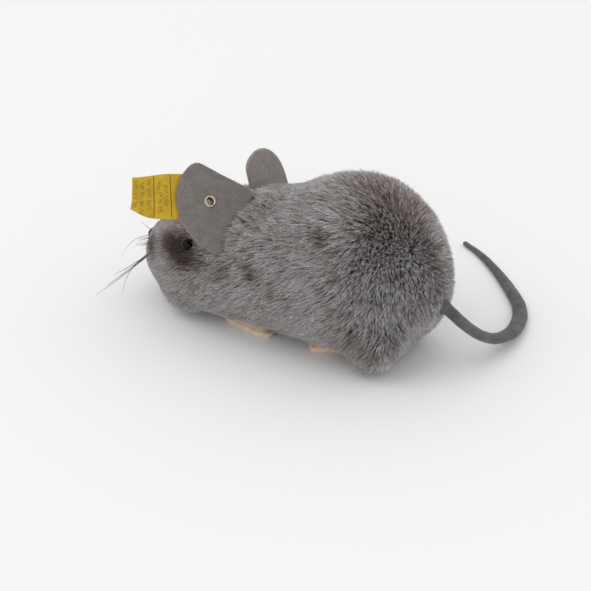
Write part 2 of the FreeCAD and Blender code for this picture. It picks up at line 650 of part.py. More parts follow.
# Stuffing: the head and the rump are filled, clear of the motor.
gap = dim("stuffing_gap")
filling = doc.addObject("Part::Feature", "stuffing_form")
filling.Shape = body_loft(range(2, last - 1), dim("cover_thickness") + gap)
nose_end, rump_end = dim("section_2_y") + gap, dim(f"section_{last - 2}_y") - gap
for label, start, end in (("head_stuffing", nose_end, dim("head_stuffing_back")),
                          ("rump_stuffing", dim("rump_stuffing_front"), rump_end)):
    slab = block(f"{label}_slab", (-40, start, -10), (40, end, 80))
    portion = doc.addObject("Part::Common", f"{label}_portion")
    portion.Base = filling
    portion.Tool = slab
    keep(portion, label)


def seated(label, blank, seat=form):
    """A piece sewn on: its blank, less what the body form takes up."""
    return keep(cut(f"{label}_seated", blank, seat), label)


# ---------------------------------------------------------------- ears, eyelet, label

EAR_OUTLINE = [(-11.2, -8), (-10.2, -10.3), (-6, -11.4), (1, -12.1), (7, -12.8), (10.8, -12.9),
               (13.4, -10.3), (15.1, -4.5), (13.9, 2.6), (9.9, 8.9), (4.2, 12.9), (-2.1, 14.8),
               (-6.4, 14.8), (-8.6, 12), (-9.2, 5), (-10.4, -1.5)]


def frame_of(centre, along, across):
    """A placement whose x runs along, whose y runs across and whose z is the felt's back."""
    x = Vector(*along).normalize()
    y = Vector(*across)
    y = (y - x * x.dot(y)).normalize()
    z = x.cross(y)
    rows = [(x.x, y.x, z.x, centre[0]), (x.y, y.y, z.y, centre[1]), (x.z, y.z, z.z, centre[2])]
    return Placement(FreeCAD.Matrix(*(value for line in rows for value in line), 0, 0, 0, 1))


def ear_blank(name, frame, hole=None):
    """A felt ear: a pad of its outline, half its thickness to each side of the frame."""
    body = new_body(name)
    sketch = new_sketch(body, f"{name}_outline", "XY_Plane", -dim("felt_thickness") / 2)
    curve = Part.BSplineCurve()
    curve.interpolate([Vector(x, y, 0) for x, y in EAR_OUTLINE], PeriodicFlag=True)
    sketch.addGeometry(curve)
    pad(body, sketch, f"{name}_felt", "dims.felt_thickness")
    if hole:
        hole_sketch = new_sketch(body, f"{name}_hole", "XY_Plane")
        add_circle(hole_sketch, "dims.eyelet_barrel", hole)
        pocket_through(body, hole_sketch, f"{name}_piercing")
    body.Placement = frame
    return body


left_frame = frame_of((17.5, -20.5, 47.5), (0.588, -0.669, 0.455), (0.711, 0.159, -0.685))
right_frame = frame_of((-13.7, -19.7, 42), (-0.155, -0.262, 0.953), (-0.978, -0.097, -0.186))
eyelet_at = (dim("eyelet_along"), dim("eyelet_across"))
seated("ear_left", ear_blank("ear_left_blank", left_frame, eyelet_at))
seated("ear_right", ear_blank("ear_right_blank", right_frame))

# Ear label: a ribbon under the eyelet, on the ear's front face, standing out past the ear's edge.
felt, ribbon = dim("felt_thickness"), dim("label_thickness")
lead, label_width, front_share = dim("label_lead"), dim("label_width"), dim("label_front_share")
label = new_body("label")
label_sketch = new_sketch(label, "label_outline", "XY_Plane")
label_end = dim("label_length") - lead
label_low, label_high = -label_width * front_share, label_width * (1 - front_share)
add_polygon(label_sketch, [(-lead, label_low), (label_end, label_low),
                           (label_end, label_high - dim("label_corner_width")),
                           (label_end - dim("label_corner_length"), label_high), (-lead, label_high)])
pad(label, label_sketch, "label_ribbon", "dims.label_thickness")
label_hole = new_sketch(label, "label_hole", "XY_Plane")
add_circle(label_hole, "dims.eyelet_barrel")
pocket_through(label, label_hole, "label_piercing")
label_turn = Placement(Vector(eyelet_at[0], eyelet_at[1], -felt / 2 - ribbon),
                       Rotation(Vector(0, 0, 1), dim("label_turn")))
label.Placement = left_frame.multiply(label_turn)
keep(label, "ear_label")

eyelet_rim, flange_radius = dim("eyelet_rim"), dim("eyelet_flange")
barrel, eyelet_bore = dim("eyelet_barrel"), dim("eyelet_bore")
grip_end = eyelet_rim + felt + ribbon
eyelet = revolved("eyelet", [(0, eyelet_bore), (0, flange_radius - 0.2), (eyelet_rim, flange_radius - 0.2),
                             (eyelet_rim, barrel), (grip_end, barrel), (grip_end, flange_radius),
                             (grip_end + eyelet_rim, flange_radius), (grip_end + eyelet_rim, eyelet_bore)])
stand = Placement(Vector(eyelet_at[0], eyelet_at[1], -felt / 2 - ribbon - eyelet_rim),
                  Rotation(Vector(0, 1, 0), -90))
eyelet.Placement = left_frame.multiply(stand)
keep(eyelet, "ear_eyelet")


# ---------------------------------------------------------------- eyes, nose, whiskers

for side, sign in (("left", 1), ("right", -1)):
    bead = doc.addObject("Part::Sphere", f"eye_{side}_bead")
    bind(bead, Radius="dims.eye_radius")
    bead.Placement.Base = Vector(sign * dim("eye_x"), dim("eye_y"), dim("eye_z"))
    seated(f"eye_{side}", bead)

nose_bead = ellipsoid("nose_bead", (0, dim("nose_y"), dim("nose_z")),
                      ["dims.nose_rx", "dims.nose_ry", "dims.nose_rz"])
seated("nose", nose_bead)

# Whiskers: straight bristles from the side of the muzzle; root, then how far each one reaches.
WHISKERS = [((15.9, -48.6, 23), (5.5, -22.52, -22.4)), ((16, -48.3, 23.4), (1.1, -17.7, -14.9)),
            ((15.9, -48.9, 22.5), (3, -12.1, -19.3)), ((2.6, -59.2, 20), (12, -5.5, -4))]
for side, sign in (("left", 1), ("right", -1)):
    bristles = []
    for number, (root, reach_by) in enumerate(WHISKERS):
        direction = Vector(sign * reach_by[0], reach_by[1], reach_by[2])
        bristle = doc.addObject("Part::Cylinder", f"whisker_{side}_{number}")
        bind(bristle, Radius="dims.whisker_radius")
        bristle.Height = direction.Length
        bristle.Placement = Placement(Vector(sign * root[0], root[1], root[2]),
                                      Rotation(Vector(0, 0, 1), direction))
        bristles.append(bristle)
    seated(f"whiskers_{side}", fuse(f"whisker_set_{side}", *bristles))


# ---------------------------------------------------------------- feet

# A foot's raised middle reaches up to the chassis plate through the belly opening and under its rim.
cover_rim = cut("cover_rim", form, opening)


def rounded_bar(body, name, half_length, half_width):
    """A sketch of two straight sides with a half circle at each end."""
    sketch = new_sketch(body, name, "XY_Plane")
    straight = half_length - half_width
    for sign in (1, -1):
        sketch.addGeometry(Part.LineSegment(Vector(sign * half_width, -straight, 0),
                                            Vector(sign * half_width, straight, 0)))
        centre = Vector(0, sign * straight, 0)
        circle = Part.Circle(centre, Vector(0, 0, 1), half_width)
        start = 0 if sign > 0 else math.pi
        sketch.addGeometry(Part.ArcOfCircle(circle, start, start + math.pi))
    return sketch


def foot_blank(name, length, width_alias, frame):
    """A felt foot with its sole on z = 0 and a raised middle by which it is held."""
    body = new_body(name)
    half_length, half_width = dim(length) / 2, dim(width_alias) / 2
    pad(body, rounded_bar(body, f"{name}_outline", half_length, half_width), f"{name}_felt",
        "dims.foot_thickness")
    share = dim("foot_root_share")
    pad(body, rounded_bar(body, f"{name}_root", share * half_length, share * half_width),
        f"{name}_root_felt", "dims.plate_bottom")
    body.Placement = frame
    return body


for side, sign in (("left", 1), ("right", -1)):
    toe_in = Rotation(Vector(0, 0, 1), sign * dim("front_foot_splay"))
    front_frame = Placement(Vector(sign * dim("front_foot_x"), dim("front_foot_y"), 0), toe_in)
    seated(f"foot_front_{side}",
           foot_blank(f"front_foot_{side}", "front_foot_length", "front_foot_width", front_frame),
           cover_rim)
    splay = Rotation(Vector(0, 0, 1), sign * dim("hind_foot_splay"))
    hind_frame = Placement(Vector(sign * dim("hind_foot_x"), dim("hind_foot_y"), 0), splay)
    seated(f"foot_hind_{side}",
           foot_blank(f"hind_foot_{side}", "hind_foot_length", "hind_foot_width", hind_frame),
           cover_rim)


# ---------------------------------------------------------------- tail

# Centre line of the tail, with its width and thickness: it leaves the rump, drops to the floor
# and sweeps round to the mouse's right and forward.
TAIL = [(0.5, 56, 27.5, 5.4, 3.8), (-1.2, 60, 23.4, 5.3, 3.7), (-5.5, 64, 17, 5.1, 3.6),
        (-12, 67, 10.8, 5, 3.5), (-20.5, 68.8, 6.2, 5, 3.4), (-31.5, 68.8, 3.4, 5.2, 3.4),
        (-42.5, 66, 2.2, 5.2, 3.2), (-52, 60.8, 1.7, 4.9, 3), (-61, 52.6, 1.5, 4.3, 2.6),
        (-69.6, 43, 1.3, 3.5, 2.2), (-77, 33, 1.1, 2.6, 1.8), (-82, 23.6, 0.9, 1.8, 1.4)]


def tail_shape():
    """A flattened, tapering strip lofted through ellipses square to its centre line."""
    wires = []
    points = [Vector(*row[:3]) for row in TAIL]
    for i, (_, _, _, wide, thick) in enumerate(TAIL):
        run = (points[min(i + 1, len(TAIL) - 1)] - points[max(i - 1, 0)]).normalize()
        across = run.cross(Vector(0, 0, 1)).normalize()
        over = across.cross(run)
        corners = 12
        ring = []
        for k in range(corners):
            a = 2 * math.pi * k / corners
            ring.append(points[i] + across * (wide / 2 * math.cos(a)) + over * (thick / 2 * math.sin(a)))
        curve = Part.BSplineCurve()
        curve.interpolate(ring, PeriodicFlag=True)
        wires.append(Part.Wire([curve.toShape()]))
    return Part.makeLoft(wires, True, False)


# A tapering section that turns with its path has no primitive either.
tail_strip = doc.addObject("Part::Feature", "tail_strip")
tail_strip.Shape = tail_shape()
seated("tail", tail_strip)


# ---------------------------------------------------------------- checks and export

origin_shift = Placement(Vector(dim("origin_shift_x"), dim("origin_shift_y"), 0), Rotation())
for item in exported:
    item.Placement = origin_shift.multiply(item.Placement)
doc.recompute()
for item in doc.Objects:
    if {"Invalid", "Error"} & set(item.State):
        raise SystemExit(f"{item.Name} failed: {item.State}")
os.makedirs("parts", exist_ok=True)
for item in exported:
    shape = item.Shape
    if shape.isNull() or not shape.isValid() or not shape.Solids:
        raise SystemExit(f"{item.Label} has no valid solid")
    shape.exportStep(f"parts/{item.Label}.step")
    print(f"{item.Label}: {len(shape.Solids)} solid(s), {shape.Volume:.1f} mm3")
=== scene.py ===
import json
import math
from contextlib import contextmanager

import bmesh
import bpy
import numpy as np
from mathutils import Matrix, Vector
from mathutils.bvhtree import BVHTree
from mathutils.kdtree import KDTree


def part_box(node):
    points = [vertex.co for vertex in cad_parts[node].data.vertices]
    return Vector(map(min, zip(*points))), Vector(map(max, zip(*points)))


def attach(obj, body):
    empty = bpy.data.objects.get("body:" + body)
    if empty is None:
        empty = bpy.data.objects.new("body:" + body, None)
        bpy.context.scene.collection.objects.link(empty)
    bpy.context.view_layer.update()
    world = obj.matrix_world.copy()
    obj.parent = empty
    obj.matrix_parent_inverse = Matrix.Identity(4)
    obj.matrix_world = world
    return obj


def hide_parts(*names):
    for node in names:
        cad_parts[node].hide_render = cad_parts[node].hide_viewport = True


# Looks of the clockwork mouse: a plush pile over a sewn skin, felt ears and feet, a suede tail,
# and the metal of its motor. Lengths are in millimetres and are scaled to metres where a mesh is made.
# The nose points to -Y, the tail to +Y, and +X is the mouse's own left. Places are given in the body's
# own frame, whose origin is on the floor under the middle of the body.

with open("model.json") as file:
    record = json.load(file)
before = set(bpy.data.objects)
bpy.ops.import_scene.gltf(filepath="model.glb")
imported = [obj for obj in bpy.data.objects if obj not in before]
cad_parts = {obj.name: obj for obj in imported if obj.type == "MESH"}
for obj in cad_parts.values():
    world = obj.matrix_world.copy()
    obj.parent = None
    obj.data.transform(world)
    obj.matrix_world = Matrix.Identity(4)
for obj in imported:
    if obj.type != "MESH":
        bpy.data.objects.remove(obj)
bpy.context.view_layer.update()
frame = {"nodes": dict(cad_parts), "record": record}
NODES = frame["nodes"]
BODY_OF = {node: body for body, group in frame["record"]["behaviour"]["bodies"].items() for node in group}
SLOT_OF = {part["node"]: part["material_slot"] for part in frame["record"]["subparts"]}
SIDES = {"left": 1, "right": -1}
MM = 0.001
ROLLER_PLACE = (0.0, -14.0, 3.2)
ORIGIN = np.mean(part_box("front_roller"), axis=0) / MM - ROLLER_PLACE


# ---------------------------------------------------------------- small helpers


def box_mm(node):
    """Lowest and highest corner of a CAD node in the body's frame, in millimetres."""
    low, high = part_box(node)
    return np.array(low) / MM - ORIGIN, np.array(high) / MM - ORIGIN


def in_metres(points):
    """Points of the body's frame as metres of the scene."""
    return (np.asarray(points, float) + ORIGIN) * MM


def in_body(metres):
    """The other way: metres of the scene as millimetres of the body's frame."""
    return np.asarray(metres, float) / MM - ORIGIN


def centre_mm(node):
    low, high = box_mm(node)
    return (low + high) / 2


def unit(v):
    """Vectors of length one along the last axis."""
    v = np.asarray(v, float)
    return v / np.maximum(np.linalg.norm(v, axis=-1, keepdims=True), 1e-12)


def ramp(value, start, end):
    """0 before start, 1 after end, smooth between."""
    t = np.clip((value - start) / (end - start), 0, 1)
    return t * t * (3 - 2 * t)


def turned(x, y, angle):
    """Lengths along two axes, turned about the upright one."""
    c, s = math.cos(angle), math.sin(angle)
    return c * x - s * y, s * x + c * y


def soft_noise(points, size, seed):
    """Smooth random values from -1 to 1 at points, with features about size across."""
    side = 16
    table = np.random.default_rng(seed).uniform(-1, 1, (side, side, side))
    place = np.asarray(points, float) / size + side * 8
    cell = np.floor(place).astype(int)
    part = place - cell
    part = part * part * (3 - 2 * part)
    total = np.zeros(len(place))
    for corner in np.ndindex(2, 2, 2):
        share = np.ones(len(place))
        for axis in range(3):
            share = share * (part[:, axis] if corner[axis] else 1 - part[:, axis])
        index = (cell + corner) % side
        total += share * table[index[:, 0], index[:, 1], index[:, 2]]
    return total


def curve_point(four, f):
    """A share f of the way from the second to the third of four rows, on a smooth curve through all."""
    a, b, c, d = four
    return 0.5 * (2 * b + (c - a) * f + (2 * a - 5 * b + 4 * c - d) * f**2
                  + (3 * b - a - 3 * c + d) * f**3)


def closed_curve(points, count):
    """Points evenly spread along a smooth closed curve through the given ones."""
    points = np.asarray(points, float)
    total = len(points)
    out = []
    for t in np.arange(count) * total / count:
        i = int(t)
        out.append(curve_point([points[(i + k) % total] for k in (-1, 0, 1, 2)], t - i))
    return np.array(out)


def open_curve(points, count):
    """Points along a smooth open curve through the given rows of numbers."""
    points = np.asarray(points, float)
    padded = np.vstack([2 * points[0] - points[1], points, 2 * points[-1] - points[-2]])
    out = []
    for t in np.linspace(0, len(points) - 1, count):
        i = min(int(t), len(points) - 2)
        out.append(curve_point(padded[i:i + 4], t - i))
    return np.array(out)


def linked(name, data):
    """A new object of the scene."""
    thing = bpy.data.objects.new(name, data)
    bpy.context.scene.collection.objects.link(thing)
    return thing


def make_object(name, points, faces, materials, face_material=None):
    """A smooth mesh object from points in millimetres and faces of any size, with its normals outward."""
    mesh = bpy.data.meshes.new(name)
    mesh.from_pydata([tuple(p) for p in in_metres(points)], [], [tuple(f) for f in faces])
    for material in materials:
        mesh.materials.append(material)
    mesh.polygons.foreach_set("use_smooth", [True] * len(mesh.polygons))
    if face_material is not None:
        mesh.polygons.foreach_set("material_index", face_material)
    mesh.update()
    thing = linked(name, mesh)
    with editing(thing) as shape:
        bmesh.ops.recalc_face_normals(shape, faces=shape.faces)
    return thing


def grid_faces(rows, columns):
    """Quads of a grid of points, row by row, whose last column joins its first."""
    faces = []
    for i in range(rows - 1):
        for j in range(columns):
            k = (j + 1) % columns
            faces.append((i * columns + j, i * columns + k, (i + 1) * columns + k, (i + 1) * columns + j))
    return faces


def capped_faces(rows, columns):
    """The same grid with its first and last rows closed, as a solid has them."""
    last = (rows - 1) * columns
    return grid_faces(rows, columns) + [tuple(range(columns))[::-1], tuple(last + k for k in range(columns))]


def fit_out(thing, stands_for):
    """A piece rides with the CAD node that it stands for."""
    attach(thing, BODY_OF[stands_for])
    return thing


@contextmanager
def editing(thing):
    """The object's mesh, open for editing."""
    mesh = bmesh.new()
    mesh.from_mesh(thing.data)
    yield mesh
    mesh.to_mesh(thing.data)
    mesh.free()


def drop_loose(mesh):
    """Remove points that no face uses."""
    bmesh.ops.delete(mesh, geom=[v for v in mesh.verts if not v.link_faces], context="VERTS")


def modify(thing, kind, **settings):
    """Turn what a modifier makes into the object's own mesh."""
    modifier = thing.modifiers.new(kind, kind)
    for name, value in settings.items():
        setattr(modifier, name, value)
    shown = thing.evaluated_get(bpy.context.evaluated_depsgraph_get())
    mesh = bpy.data.meshes.new_from_object(shown)
    thing.modifiers.clear()
    thing.data = mesh


# ---------------------------------------------------------------- materials


def linear(red, green, blue):
    """A screen colour, 0 to 255, as linear light."""
    return [(c / 255 / 12.92 if c <= 10 else ((c / 255 + 0.055) / 1.055) ** 2.4) for c in (red, green, blue)]


def plain(name, colour, roughness, **sockets):
    """A Principled material with its values set on its own sockets."""
    material = bpy.data.materials.new(name)
    material.use_nodes = True
    shader = material.node_tree.nodes["Principled BSDF"]
    shader.inputs["Base Color"].default_value = (*linear(*colour), 1)
    shader.inputs["Roughness"].default_value = roughness
    for socket, value in sockets.items():
        shader.inputs[socket.replace("_", " ")].default_value = value
    return material


class Pattern:
    """Adds procedural nodes to a material, driven by the object's own coordinates."""

    def __init__(self, material):
        self.tree = material.node_tree
        self.shader = self.tree.nodes["Principled BSDF"]
        self.place = self.tree.nodes.new("ShaderNodeTexCoord").outputs["Object"]

    def link(self, source, target):
        self.tree.links.new(source, target)

    def node(self, kind, vector=None, **values):
        """A new node with values on its sockets and a source for its Vector socket."""
        made = self.tree.nodes.new("ShaderNode" + kind)
        for socket, value in values.items():
            made.inputs[socket].default_value = value
        if vector is not None:
            self.link(vector, made.inputs["Vector"])
        return made

    def noise(self, size, detail=3.0, roughness=0.55, stretch=(1, 1, 1)):
        """Noise whose features are about size millimetres across."""
        stretched = self.node("Mapping", self.place, Scale=stretch).outputs["Vector"]
        return self.node("TexNoise", stretched, Scale=1 / (size * MM), Detail=detail,
                         Roughness=roughness).outputs["Fac"]

    def voronoi(self, size):
        """Cells about size millimetres across."""
        return self.node("TexVoronoi", self.place, Scale=1 / (size * MM)).outputs["Distance"]

    def wave(self, size, direction, distortion, kind="BANDS"):
        """Bands across a direction, or rings around it, about size millimetres apart."""
        node = self.node("TexWave", self.place, Scale=0.05 / (size * MM), Distortion=distortion, Detail=2.0)
        node.wave_type = kind
        setattr(node, f"{kind.lower()}_direction", direction)
        return node.outputs["Fac"]

    def spread(self, factor, stops):
        """Colours or greys along a factor; stops are (place, colour or grey)."""
        node = self.node("ValToRGB")
        elements = node.color_ramp.elements
        while len(elements) < len(stops):
            elements.new(0.5)
        for element, (at, value) in zip(elements, stops):
            element.position = at
            element.color = (value, value, value, 1) if isinstance(value, float) else (*linear(*value), 1)
        self.link(factor, node.inputs["Fac"])
        return node.outputs["Color"]

    def mixed(self, factor, one, other):
        """One colour multiplied by another, to the extent of factor."""
        node = self.node("Mix")
        node.data_type = "RGBA"
        node.blend_type = "MULTIPLY"
        for socket, value in ((node.inputs[0], factor), (node.inputs[6], one), (node.inputs[7], other)):
            if isinstance(value, (int, float)):
                socket.default_value = value
            else:
                self.link(value, socket)
        return node.outputs[2]

    def coloured(self, source):
        self.link(source, self.shader.inputs["Base Color"])

    def rough(self, source):
        self.link(source, self.shader.inputs["Roughness"])

    def bumped(self, source, height, strength=1.0):
        """Bump of a height in millimetres, added to any bump already there."""
        node = self.node("Bump", Strength=strength, Distance=height * MM)
        self.link(source, node.inputs["Height"])
        before = self.shader.inputs["Normal"]
        if before.is_linked:
            self.link(before.links[0].from_socket, node.inputs["Normal"])
        self.link(node.outputs["Normal"], before)


def grained(name, colour, roughness, shade, gloss=None, fine=None, bumps=(), **sockets):
    """A material whose colour, roughness and bump follow noise.

    shade, gloss and fine are (noise, stops), and bumps are (noise, height, strength), where noise
    holds what Pattern.noise takes. fine darkens or lightens the shade in small grains.
    """
    material = plain(name, colour, roughness, **sockets)
    p = Pattern(material)
    colours = p.spread(p.noise(*shade[0]), shade[1])
    if fine:
        colours = p.mixed(1.0, colours, p.spread(p.noise(*fine[0]), fine[1]))
    p.coloured(colours)
    if gloss:
        p.rough(p.spread(p.noise(*gloss[0]), gloss[1]))
    for noise, height, strength in bumps:
        p.bumped(p.noise(*noise), height, strength)
    return material


def felt_material(name, dark, middle, light):
    """Matt wool felt: matted fibres with mottled colour and a soft nap."""
    return grained(name, middle, 0.92, ((3.2,), [(0.34, dark), (0.5, middle), (0.68, light)]),
                   gloss=((0.6,), [(0.3, 0.85), (0.7, 0.98)]),
                   fine=((0.5, 5, 0.7), [(0.32, 0.62), (0.5, 0.86), (0.66, 1.08)]),
                   bumps=[((0.22, 4, 0.7), 0.16, 0.7), ((1.6,), 0.25, 0.4)],
                   Sheen_Weight=0.25, Sheen_Roughness=0.6, Specular_IOR_Level=0.2)


def suede_material():
    """Dark grey suede: short nap, brushed lighter and darker along the strip."""
    return grained("tail_suede", (86, 84, 87), 0.88,
                   ((4.0,), [(0.32, (78, 75, 78)), (0.5, (92, 89, 92)), (0.7, (106, 103, 105))]),
                   gloss=((0.8,), [(0.3, 0.8), (0.7, 0.95)]),
                   fine=((0.3, 4), [(0.3, 0.82), (0.7, 1.0)]),
                   bumps=[((0.25, 4, 0.7), 0.12, 0.6)],
                   Sheen_Weight=0.2, Sheen_Roughness=0.5, Specular_IOR_Level=0.25)


def foot_material():
    """Beige felt of the soles."""
    return felt_material("foot_felt", (226, 202, 172), (234, 212, 184), (240, 220, 194))


def toe_material():
    """Pink felt of the toes."""
    return felt_material("toe_felt", (240, 192, 170), (246, 202, 182), (250, 210, 192))


def backing_material():
    """Woven backing of the pile: dark thread under and over, seen only where the pile parts."""
    material = plain("pile_backing", (66, 60, 58), 0.95, Sheen_Weight=0.1, Specular_IOR_Level=0.1)
    p = Pattern(material)
    weave = p.mixed(0.5, p.wave(0.5, "Y", 0.6), p.wave(0.5, "Z", 0.6))
    shade = p.spread(p.noise(2.0), [(0.3, (50, 45, 43)), (0.7, (78, 72, 70))])
    p.coloured(p.mixed(0.35, shade, weave))
    p.bumped(weave, 0.08, 0.6)
    return material


def brass_material():
    return grained("brass", (196, 160, 92), 0.32,
                   ((2.4,), [(0.3, (180, 145, 82)), (0.5, (194, 158, 91)), (0.72, (205, 170, 103))]),
                   gloss=((0.9,), [(0.3, 0.24), (0.7, 0.46)]),
                   bumps=[((0.5, 4, 0.6, (1, 6, 1)), 0.02, 0.5)], Metallic=1.0)


def steel_material(name, dark, light, low, high, grain):
    """Turned or rolled steel with fine lines along the grain and a little handling wear."""
    return grained(name, light, (low + high) / 2, ((1.8,), [(0.3, dark), (0.7, light)]),
                   gloss=((0.4, 3, 0.6, grain), [(0.3, low), (0.7, high)]),
                   bumps=[((0.25, 3, 0.6, grain), 0.015, 0.5)], Metallic=1.0)


def tin_material():
    """Bright tinplate with its crystal spangle and fine scratches."""
    material = plain("tinplate", (186, 186, 182), 0.34, Metallic=1.0)
    p = Pattern(material)
    spangle = p.voronoi(3.0)
    p.coloured(p.spread(spangle, [(0.1, (162, 162, 158)), (0.5, (190, 190, 186)), (0.9, (206, 206, 202))]))
    p.rough(p.spread(spangle, [(0.1, 0.26), (0.8, 0.44)]))
    p.bumped(p.noise(0.3, 3, 0.6, (1, 8, 1)), 0.015, 0.5)
    return material


def nickel_material():
    return grained("key_nickel", (206, 202, 194), 0.16,
                   ((3.0,), [(0.32, (176, 168, 152)), (0.55, (206, 202, 194)), (0.75, (216, 213, 206))]),
                   gloss=((1.2, 4), [(0.35, 0.12), (0.7, 0.3)]),
                   bumps=[((0.6, 4), 0.01, 0.4)], Metallic=1.0)


def rubber_material():
    return grained("tyre_rubber", (38, 37, 36), 0.82, ((1.5,), [(0.3, (30, 29, 28)), (0.7, (52, 50, 48))]),
                   gloss=((0.5,), [(0.3, 0.72), (0.7, 0.92)]),
                   bumps=[((0.3, 3), 0.04, 0.6)], Specular_IOR_Level=0.35)


def wood_material():
    """Turned beech with rings around its axle and fine flecks."""
    material = plain("roller_beech", (176, 132, 88), 0.5, Coat_Weight=0.2)
    p = Pattern(material)
    rings = p.wave(0.9, "X", 3.0, "RINGS")
    grain = p.spread(rings, [(0.2, (150, 106, 66)), (0.6, (182, 138, 92)), (0.9, (198, 158, 112))])
    flecks = p.spread(p.noise(0.3, 3, 0.6, (0.2, 1, 1)), [(0.35, 0.75), (0.6, 1.0)])
    p.coloured(p.mixed(1.0, grain, flecks))
    p.rough(p.spread(rings, [(0.2, 0.42), (0.9, 0.6)]))
    p.bumped(flecks, 0.02, 0.5)
    return material


def bead_material():
    """Polished glass or resin: deep colour, fine wipe marks in the gloss."""
    return grained("eye_bead", (8, 6, 5), 0.12, ((0.8,), [(0.35, (8, 6, 5)), (0.7, (14, 12, 11))]),
                   gloss=((0.5, 3), [(0.35, 0.12), (0.75, 0.22)]),
                   Coat_Weight=0.04, Coat_Roughness=0.1, Specular_IOR_Level=0.12)


def bristle_material():
    """Whisker bristle: slate grey with slightly lighter stretches."""
    return grained("bristle", (70, 76, 84), 0.42, ((2.0,), [(0.3, (44, 48, 54)), (0.7, (92, 98, 106))]),
                   gloss=((0.6,), [(0.3, 0.34), (0.7, 0.55)]), Specular_IOR_Level=0.5)


def ribbon_material():
    """Yellow woven ribbon: fine cross ribs, slightly soiled, a low satin sheen."""
    return grained("label_ribbon", (196, 160, 32), 0.6,
                   ((4.5,), [(0.3, (180, 144, 20)), (0.55, (196, 162, 30)), (0.75, (206, 174, 46))]),
                   gloss=((0.7,), [(0.3, 0.5), (0.7, 0.72)]),
                   fine=((0.25, 3, 0.6, (1, 1, 3)), [(0.3, 0.88), (0.7, 1.0)]),
                   bumps=[((0.2, 2, 0.5, (1, 1, 4)), 0.03, 0.6)],
                   Sheen_Weight=0.15, Specular_IOR_Level=0.3)


def ink_material():
    return grained("label_ink", (112, 88, 26), 0.7, ((0.5, 3), [(0.3, (96, 72, 20)), (0.7, (142, 112, 34))]),
                   bumps=[((0.2, 2), 0.02, 0.5)], Specular_IOR_Level=0.3)


def fibre_material():
    """Loose wood-wool and cotton filling."""
    strands = (0.7, 5, 0.7, (1, 0.25, 1))
    return grained("filling", (216, 208, 188), 0.95,
                   (strands, [(0.3, (178, 166, 140)), (0.55, (214, 206, 186)), (0.75, (232, 226, 210))]),
                   bumps=[(strands, 0.5, 0.8)], Sheen_Weight=0.3)


# ---------------------------------------------------------------- fine hair, as a mesh


class Hair:
    """Collects tapered three-sided strands and makes them into mesh pieces."""

    def __init__(self, curve, width, tones):
        """curve: strands x knots x 3, root first, ending in the tip. tones: strands x segments."""
        self.curve, self.width, self.tones = curve, width, tones

    def piece(self, name, picked, materials, seed):
        """One mesh of the picked strands, each turned about itself by a seeded amount."""
        curve, width, tones = self.curve[picked], self.width[picked], self.tones[picked]
        count, knots = curve.shape[:2]
        rings = knots - 1
        along = unit(np.gradient(curve, axis=1))
        turn = np.random.default_rng(seed).normal(size=(count, 3))
        side = unit(np.cross(along, turn[:, None, :]))
        other = np.cross(along, side)
        taper = np.linspace(1.0, 0.55, rings)
        corners = []
        for angle in np.arange(3) * 2 * math.pi / 3:
            offset = side * math.cos(angle) + other * math.sin(angle)
            corners.append(curve[:, :-1] + offset[:, :-1] * (width[:, None] * taper)[..., None] / 2)
        body = np.stack(corners, 2).reshape(count, rings * 3, 3)
        points = np.concatenate([body, curve[:, -1:]], 1)
        faces, segment = [(0, 2, 1)], [0]
        for ring in range(rings - 1):
            for k in range(3):
                a, b = ring * 3 + k, ring * 3 + (k + 1) % 3
                faces += [(a, b, b + 3), (a, b + 3, a + 3)]
                segment += [ring, ring]
        tip, last = rings * 3, (rings - 1) * 3
        for k in range(3):
            faces.append((last + k, last + (k + 1) % 3, tip))
            segment.append(rings - 1)
        faces = np.array(faces)
        each = tip + 1
        index = (faces[None] + (np.arange(count) * each)[:, None, None]).reshape(-1)
        mesh = bpy.data.meshes.new(name)
        mesh.vertices.add(count * each)
        mesh.vertices.foreach_set("co", in_metres(points).astype(np.float32).ravel())
        mesh.loops.add(len(index))
        mesh.loops.foreach_set("vertex_index", index.astype(np.int32))
        total = count * len(faces)
        mesh.polygons.add(total)
        mesh.polygons.foreach_set("loop_start", (np.arange(total) * 3).astype(np.int32))
        mesh.polygons.foreach_set("use_smooth", np.ones(total, bool))
        mesh.polygons.foreach_set("material_index", tones[:, segment].astype(np.int32).ravel())
        for material in materials:
            mesh.materials.append(material)
        mesh.update(calc_edges=True)
        return linked(name, mesh)


def tone_materials(name, colours, roughness=0.72, sheen=0.15):
    return [plain(f"{name}_{i}", colour, roughness, Sheen_Weight=sheen, Specular_IOR_Level=0.25)
            for i, colour in enumerate(colours)]


# ---------------------------------------------------------------- skin under the pile

SPINE_FRONT, SPINE_BACK = -44.0, 40.0
FAN_RINGS, SPINE_RINGS, AROUND = 16, 62, 96
OPENING_FRONT, OPENING_BACK, OPENING_HALF = -22.4, 41.3, 9.2
KEY_AXIS = centre_mm("key_bush")
KEY_HOLE = 3.6
BACKING = 0.5


def section_middle(tree, y):
    """Height of the middle of the body at y, from rays at the back and the underside."""
    above, below, beside = 200, -50, 13
    top = tree.ray_cast(Vector((0, y, above)), Vector((0, 0, -1)))[0]
    under = tree.ray_cast(Vector((beside, y, below)), Vector((0, 0, 1)))[0]
    return (top.z + under.z) / 2


